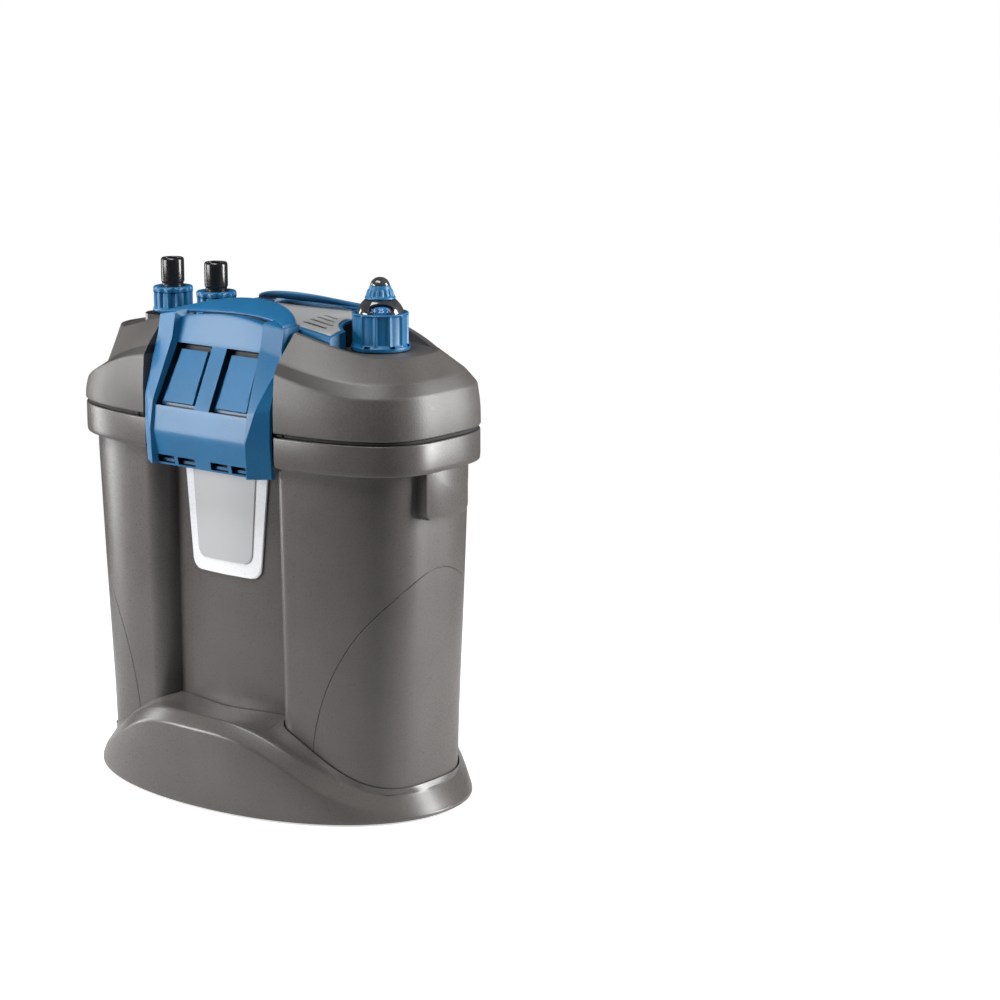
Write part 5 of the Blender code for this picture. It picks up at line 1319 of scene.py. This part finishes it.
def digit_meshes(material):
    """Plain numbers bent round the dial, a different one every 24 degrees."""
    radii, heights = np.array(DIAL_PROFILE).T
    for number in NUMBERS:
        curve = bpy.data.curves.new(f"digit_{number}", "FONT")
        curve.body = str(number)
        curve.size = sizes().digit_height * 1.35
        curve.align_x = "CENTER"
        curve.align_y = "CENTER"
        curve.extrude = 0.00012
        text = put("text", curve)
        bpy.context.view_layer.update()
        graph = bpy.context.evaluated_depsgraph_get()
        mesh = bpy.data.meshes.new_from_object(text.evaluated_get(graph))
        bpy.data.objects.remove(text, do_unlink=True)
        flat = np.zeros(len(mesh.vertices) * 3)
        mesh.vertices.foreach_get("co", flat)
        flat = flat.reshape(-1, 3)
        z = DIGIT_Z + flat[:, 1]
        radius = np.interp(z, heights, radii) + 0.00010 + flat[:, 2]
        turn = WINDOW_TURN + DIGIT_STEP * (number - NUMBER_IN_WINDOW) + flat[:, 0] / DIGIT_BEND
        bent = np.column_stack([HEATER[0] + radius * np.cos(turn), radius * np.sin(turn), z])
        mesh.vertices.foreach_set("co", bent.ravel())
        mesh.name = f"dial_number_{number}"
        piece(mesh, material, "temperature_control")


class FILTER_OT_heater_controls(bpy.types.Operator):
    """Build the glossy dome, the numbered dial, the knob and its tip"""
    bl_idname = "filter.heater_controls"
    bl_label = "Heater controls"

    def execute(self, context):
        gloss = glossy_dome()
        dome = turned("heater_dome_shell", dome_profile(), HEATER, 0.15 * MM, 128)
        dome = cut(dome, window_tool())
        piece(dome, gloss, "filter", ["heater_dome"], angle=40)
        piece(skin("dome_window_rim", window_rim(), "loop"), black_rubber(), "filter")
        low = DIAL_LOW.z
        profile = [(0.0138, low), *DIAL_PROFILE, (0.0038, 0.3578), (0.0038, DIAL_HIGH.z)]
        rings, _ = soften(lathe(profile, HEATER), [0.3 * MM] * 6, 3)
        piece(skin("number_dial", rings), dial_plastic(), "temperature_control", ["temperature_dial"])
        digit_meshes(digit_ink())
        base = KNOB_LOW.z
        top = KNOB_HIGH.z
        knob = [(0.0107, base), (0.0107, base + 0.0012), (0.0103, base + 0.0016), (0.0101, base + 0.0022),
                (0.0092, base + 0.0052), (0.0083, base + 0.0066), (0.0077, base + 0.0072), (0.0070, top),
                (0.0041, top), (0.0041, base)]
        marked = [0, 0, 0.3, 1, 1, 0.6, 0, 0, 0, 0]
        mesh = turned("temperature_knob_ring", knob, HEATER, 0.3 * MM, 288,
                      scale=fluting(KNOB_FLUTES, 0.0007, marked, 4))
        piece(mesh, clip_plastic(), "temperature_control", ["temperature_knob"], angle=30)
        base = top + 0.0003
        share = np.linspace(0, 1, 14)
        radii = TIP_RADIUS * np.sqrt(np.maximum(0, 1 - share ** 1.7)) + 0.00003
        ogive = list(zip(radii, base + (TIP_HIGH.z - base) * share))
        stem = [(0.0036, TIP_LOW.z), (0.0036, base)]
        tip = skin("knob_tip", np.stack(lathe(stem + ogive, HEATER, 64)))
        piece(tip, gloss, "temperature_control", ["temperature_tip"], angle=40)
        return {"FINISHED"}


# ---------------------------------------------------------------- hose connectors and gland

NUT_BORE = 0.0089
NUT_THREAD = 0.0130
NUT_SHOULDER = 0.3484
NIPPLE_RADIUS = 0.0085
NIPPLE_BORE = 0.0065


class FILTER_OT_connectors(bpy.types.Operator):
    """Build the hose nipples, union nuts and the cable gland"""
    bl_idname = "filter.connectors"
    bl_label = "Hose connectors"

    def execute(self, context):
        black = fitting_plastic()
        blue = clip_plastic()
        for word in ("inlet", "outlet"):
            low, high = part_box(word + "_nut")
            centre = upright_axis(low, high)
            r = high.x - centre[0]
            outside = [(r - 0.0008, low.z), (r, low.z + 0.0010), (r, low.z + 0.0026),
                       (r - 0.0003, low.z + 0.0034), (r - 0.0003, high.z - 0.0042), (r, high.z - 0.0036),
                       (r, high.z - 0.0012), (r - 0.0012, high.z), (0.0100, high.z)]
            inside = [(NUT_BORE, high.z - 0.0006), (NUT_BORE, NUT_SHOULDER), (NUT_THREAD, NUT_SHOULDER),
                      (NUT_THREAD, low.z)]
            marked = [0, 0, 0.2, 1, 1, 0.6, 0.5, 0, 0, 0, 0, 0, 0]
            nut = turned(word + "_union_nut", outside + inside, centre, 0.3 * MM, 336,
                         scale=fluting(NUT_RIBS, 0.0022, marked, 2.0))
            piece(nut, blue, word + "_nut", [word + "_nut"], angle=30)
            low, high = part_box(word + "_nipple")
            top = high.z
            flange = [(0.0122, low.z + 0.003), (0.0122, low.z)]
            bore = [(NIPPLE_BORE, low.z), (NIPPLE_BORE, top - 0.0006), (0.0070, top), (0.0077, top)]
            barrel = [(NIPPLE_RADIUS, top - 0.0014), (NIPPLE_RADIUS, 0.3562), (0.0078, 0.3549),
                      (0.0078, low.z + 0.003)]
            nipple = turned(word + "_hose_nipple", flange + bore + barrel, centre, 0.25 * MM, 96)
            piece(nipple, black, "filter", [word + "_nipple"], angle=40)
        gland = upright_axis(GLAND_LOW, GLAND_HIGH)
        low = GLAND_LOW.z
        seat = [(0.0055, low + 0.0058), (0.0055, low)]
        bore = [(0.0026, low), (0.0026, GLAND_HIGH.z)]
        bellows = [(0.0034, GLAND_HIGH.z), (0.0038, low + 0.0120), (0.0036, low + 0.0112),
                   (0.0040, low + 0.0096), (0.0038, low + 0.0088), (0.0043, low + 0.0072)]
        piece(turned("cord_gland", seat + bore + bellows, gland, 0.3 * MM, 64), black_rubber(), "filter",
              ["cable_gland"])
        return {"FINISHED"}


# ---------------------------------------------------------------- carried pieces

class FILTER_OT_inner_parts(bpy.types.Operator):
    """Finish the carried pieces: feet, seals, pump, heater tube, pipes and baskets"""
    bl_idname = "filter.inner_parts"
    bl_label = "Inner parts"

    def execute(self, context):
        slots = {part["node"]: part["material_slot"] for part in frame["record"]["subparts"]}
        makers = {
            "black_rubber": black_rubber, "black_plastic": fitting_plastic, "filter_foam": foam_sponge,
            "steel": lambda: brushed_metal("pin_steel", (0.55, 0.55, 0.56), 0.28),
            "titanium": lambda: brushed_metal("heater_titanium", (0.42, 0.41, 0.40), 0.35),
            "ceramic": lambda: moulded("shaft_ceramic", (0.78, 0.77, 0.73), 0.20, 900.0, 0.05, 0.03),
            "magnet": lambda: moulded("rotor_ferrite", (0.05, 0.05, 0.055), 0.50, 800.0, 0.20, 0.15),
            "basket_plastic": lambda: moulded(
                "basket_plastic", (0.025, 0.026, 0.028), 0.45, 900.0, 0.2, 0.12),
        }
        made = {}
        for node, obj in frame["nodes"].items():
            slot = slots[node]
            if slot in makers:
                made[slot] = made.get(slot) or makers[slot]()
                obj.data.materials.clear()
                obj.data.materials.append(made[slot])
        return {"FINISHED"}


# ---------------------------------------------------------------- stage

CAMERA_BEARING = 42.8436     # degrees round from the front
CAMERA_SWING = -4.65858      # degrees that it looks aside from the filter's axis
CAMERA_TILT = 12.21216       # degrees down
CAMERA_DISTANCE = 1.960897
CAMERA_HEIGHT = 0.627947
CAMERA_REACH = 2.76404       # focal length over sensor width
FLOOR_RADIUS = 4.0
FLOOR_FADE = (0.30, 0.75)    # the floor thins out between these distances
AMBIENT = 0.07
# Name, place, size and power in watts
LAMPS = (
    ("lamp_top", (0.0, -0.65, 1.75), (1.3, 0.6), 24),
    ("lamp_front", (-1.0, -1.25, 0.50), (0.8, 0.6), 24),
    ("lamp_left", (-1.7, -0.35, 0.35), (0.4, 1.2), 12),
    ("lamp_right", (1.4, 1.0, 0.55), (0.5, 1.4), 58),
)
LAMP_TARGET = (0.0, 0.0, 0.18)


def stage_world():
    """White surroundings: full strength to the camera, and only AMBIENT on the object."""
    shader = Shader("studio", "worlds", "Background")
    camera_ray = shader.add("ShaderNodeLightPath", output="Is Camera Ray")
    shader.set(Color=(1, 1, 1, 1), Strength=shader.stretch(camera_ray, 0.0, 1.0, AMBIENT, 1.0))
    bpy.context.scene.world = shader.block


def stage_floor():
    """Pale round floor that keeps the object's shadow."""
    shader = Shader("pale_floor")
    camera_ray = shader.add("ShaderNodeLightPath", output="Is Camera Ray")
    glow = shader.blend(camera_ray, (0, 0, 0, 1), (0.62, 0.62, 0.62, 1))
    shader.set(Base_Color=(0.72, 0.72, 0.72, 1.0), Roughness=0.9, Specular_IOR_Level=0.1,
               Emission_Color=glow, Emission_Strength=1.0)
    reach = shader.add("ShaderNodeVectorMath", {"operation": "LENGTH"}, {0: shader.place()}, output=1)
    shader.set(Alpha=shader.stretch(reach, *FLOOR_FADE, 1.0, 0.0))
    mesh = skin("floor", lathe([(FLOOR_RADIUS, -0.02), (FLOOR_RADIUS, 0.0)], (0.0, 0.0), 64))
    tidy_mesh(mesh, 30)
    mesh.materials.append(shader.block)
    floor = put("floor", mesh)


def softbox(name, place, size, power):
    """A rectangular area lamp aimed at the middle of the filter."""
    lamp = bpy.data.lights.new(name, "AREA")
    lamp.shape = "RECTANGLE"
    lamp.size, lamp.size_y = size
    lamp.energy = power
    obj = put(name, lamp)
    obj.location = place
    obj.rotation_euler = (Vector(LAMP_TARGET) - Vector(place)).to_track_quat("-Z", "Y").to_euler()


def stage_camera():
    """Camera to the front right of the filter, turned aside and tilted down by the angles above."""
    bearing = math.radians(CAMERA_BEARING)
    heading = bearing + math.radians(CAMERA_SWING)
    tilt = math.radians(CAMERA_TILT)
    level_part = math.cos(tilt)
    forward = Vector((-math.sin(heading) * level_part, math.cos(heading) * level_part, -math.sin(tilt)))
    right = Vector((math.cos(heading), math.sin(heading), 0.0))
    up = right.cross(forward)
    data = bpy.data.cameras.new("camera")
    data.sensor_width = 36.0
    data.lens = CAMERA_REACH * data.sensor_width
    data.clip_end = 50.0
    camera = put("camera", data)
    turn = Matrix((right, up, -forward)).transposed().to_4x4()
    place = Matrix.Translation((CAMERA_DISTANCE * math.sin(bearing), -CAMERA_DISTANCE * math.cos(bearing),
                                CAMERA_HEIGHT))
    camera.matrix_world = place @ turn
    bpy.context.scene.camera = camera


class FILTER_OT_stage(bpy.types.Operator):
    """Set up the pale floor, soft lamps and camera"""
    bl_idname = "filter.stage"
    bl_label = "Stage"

    def execute(self, context):
        bpy.context.scene.view_settings.view_transform = "Standard"
        stage_world()
        stage_floor()
        for name, place, size, power in LAMPS:
            softbox(name, place, size, power)
        stage_camera()
        return {"FINISHED"}


# ---------------------------------------------------------------- panel and run

OPERATORS = (FILTER_OT_tank, FILTER_OT_foot, FILTER_OT_label, FILTER_OT_lid, FILTER_OT_latches,
             FILTER_OT_cover, FILTER_OT_heater_cap, FILTER_OT_heater_controls, FILTER_OT_connectors,
             FILTER_OT_inner_parts, FILTER_OT_stage)


class FILTER_PT_panel(bpy.types.Panel):
    """Sidebar panel with the settings and one button for each group of pieces"""
    bl_idname = "FILTER_PT_panel"
    bl_label = "Canister filter"
    bl_space_type = "VIEW_3D"
    bl_region_type = "UI"
    bl_category = "Filter"

    def draw(self, context):
        for group in (context.scene.filter_sizes, context.scene.filter_colours):
            for name in group.bl_rna.properties.keys():
                if name not in ("rna_type", "name"):
                    self.layout.prop(group, name)
        for operator in OPERATORS:
            self.layout.operator(operator.bl_idname)


CLASSES = (FilterSizes, FilterColours, *OPERATORS, FILTER_PT_panel)


def register():
    for cls in CLASSES:
        bpy.utils.register_class(cls)
    bpy.types.Scene.filter_sizes = bpy.props.PointerProperty(type=FilterSizes)
    bpy.types.Scene.filter_colours = bpy.props.PointerProperty(type=FilterColours)


def unregister():
    del bpy.types.Scene.filter_colours
    del bpy.types.Scene.filter_sizes
    for cls in reversed(CLASSES):
        bpy.utils.unregister_class(cls)


def main():
    register()
    for operator in OPERATORS:
        getattr(bpy.ops.filter, operator.bl_idname.split(".")[1])()


if __name__ == "__main__":
    main()
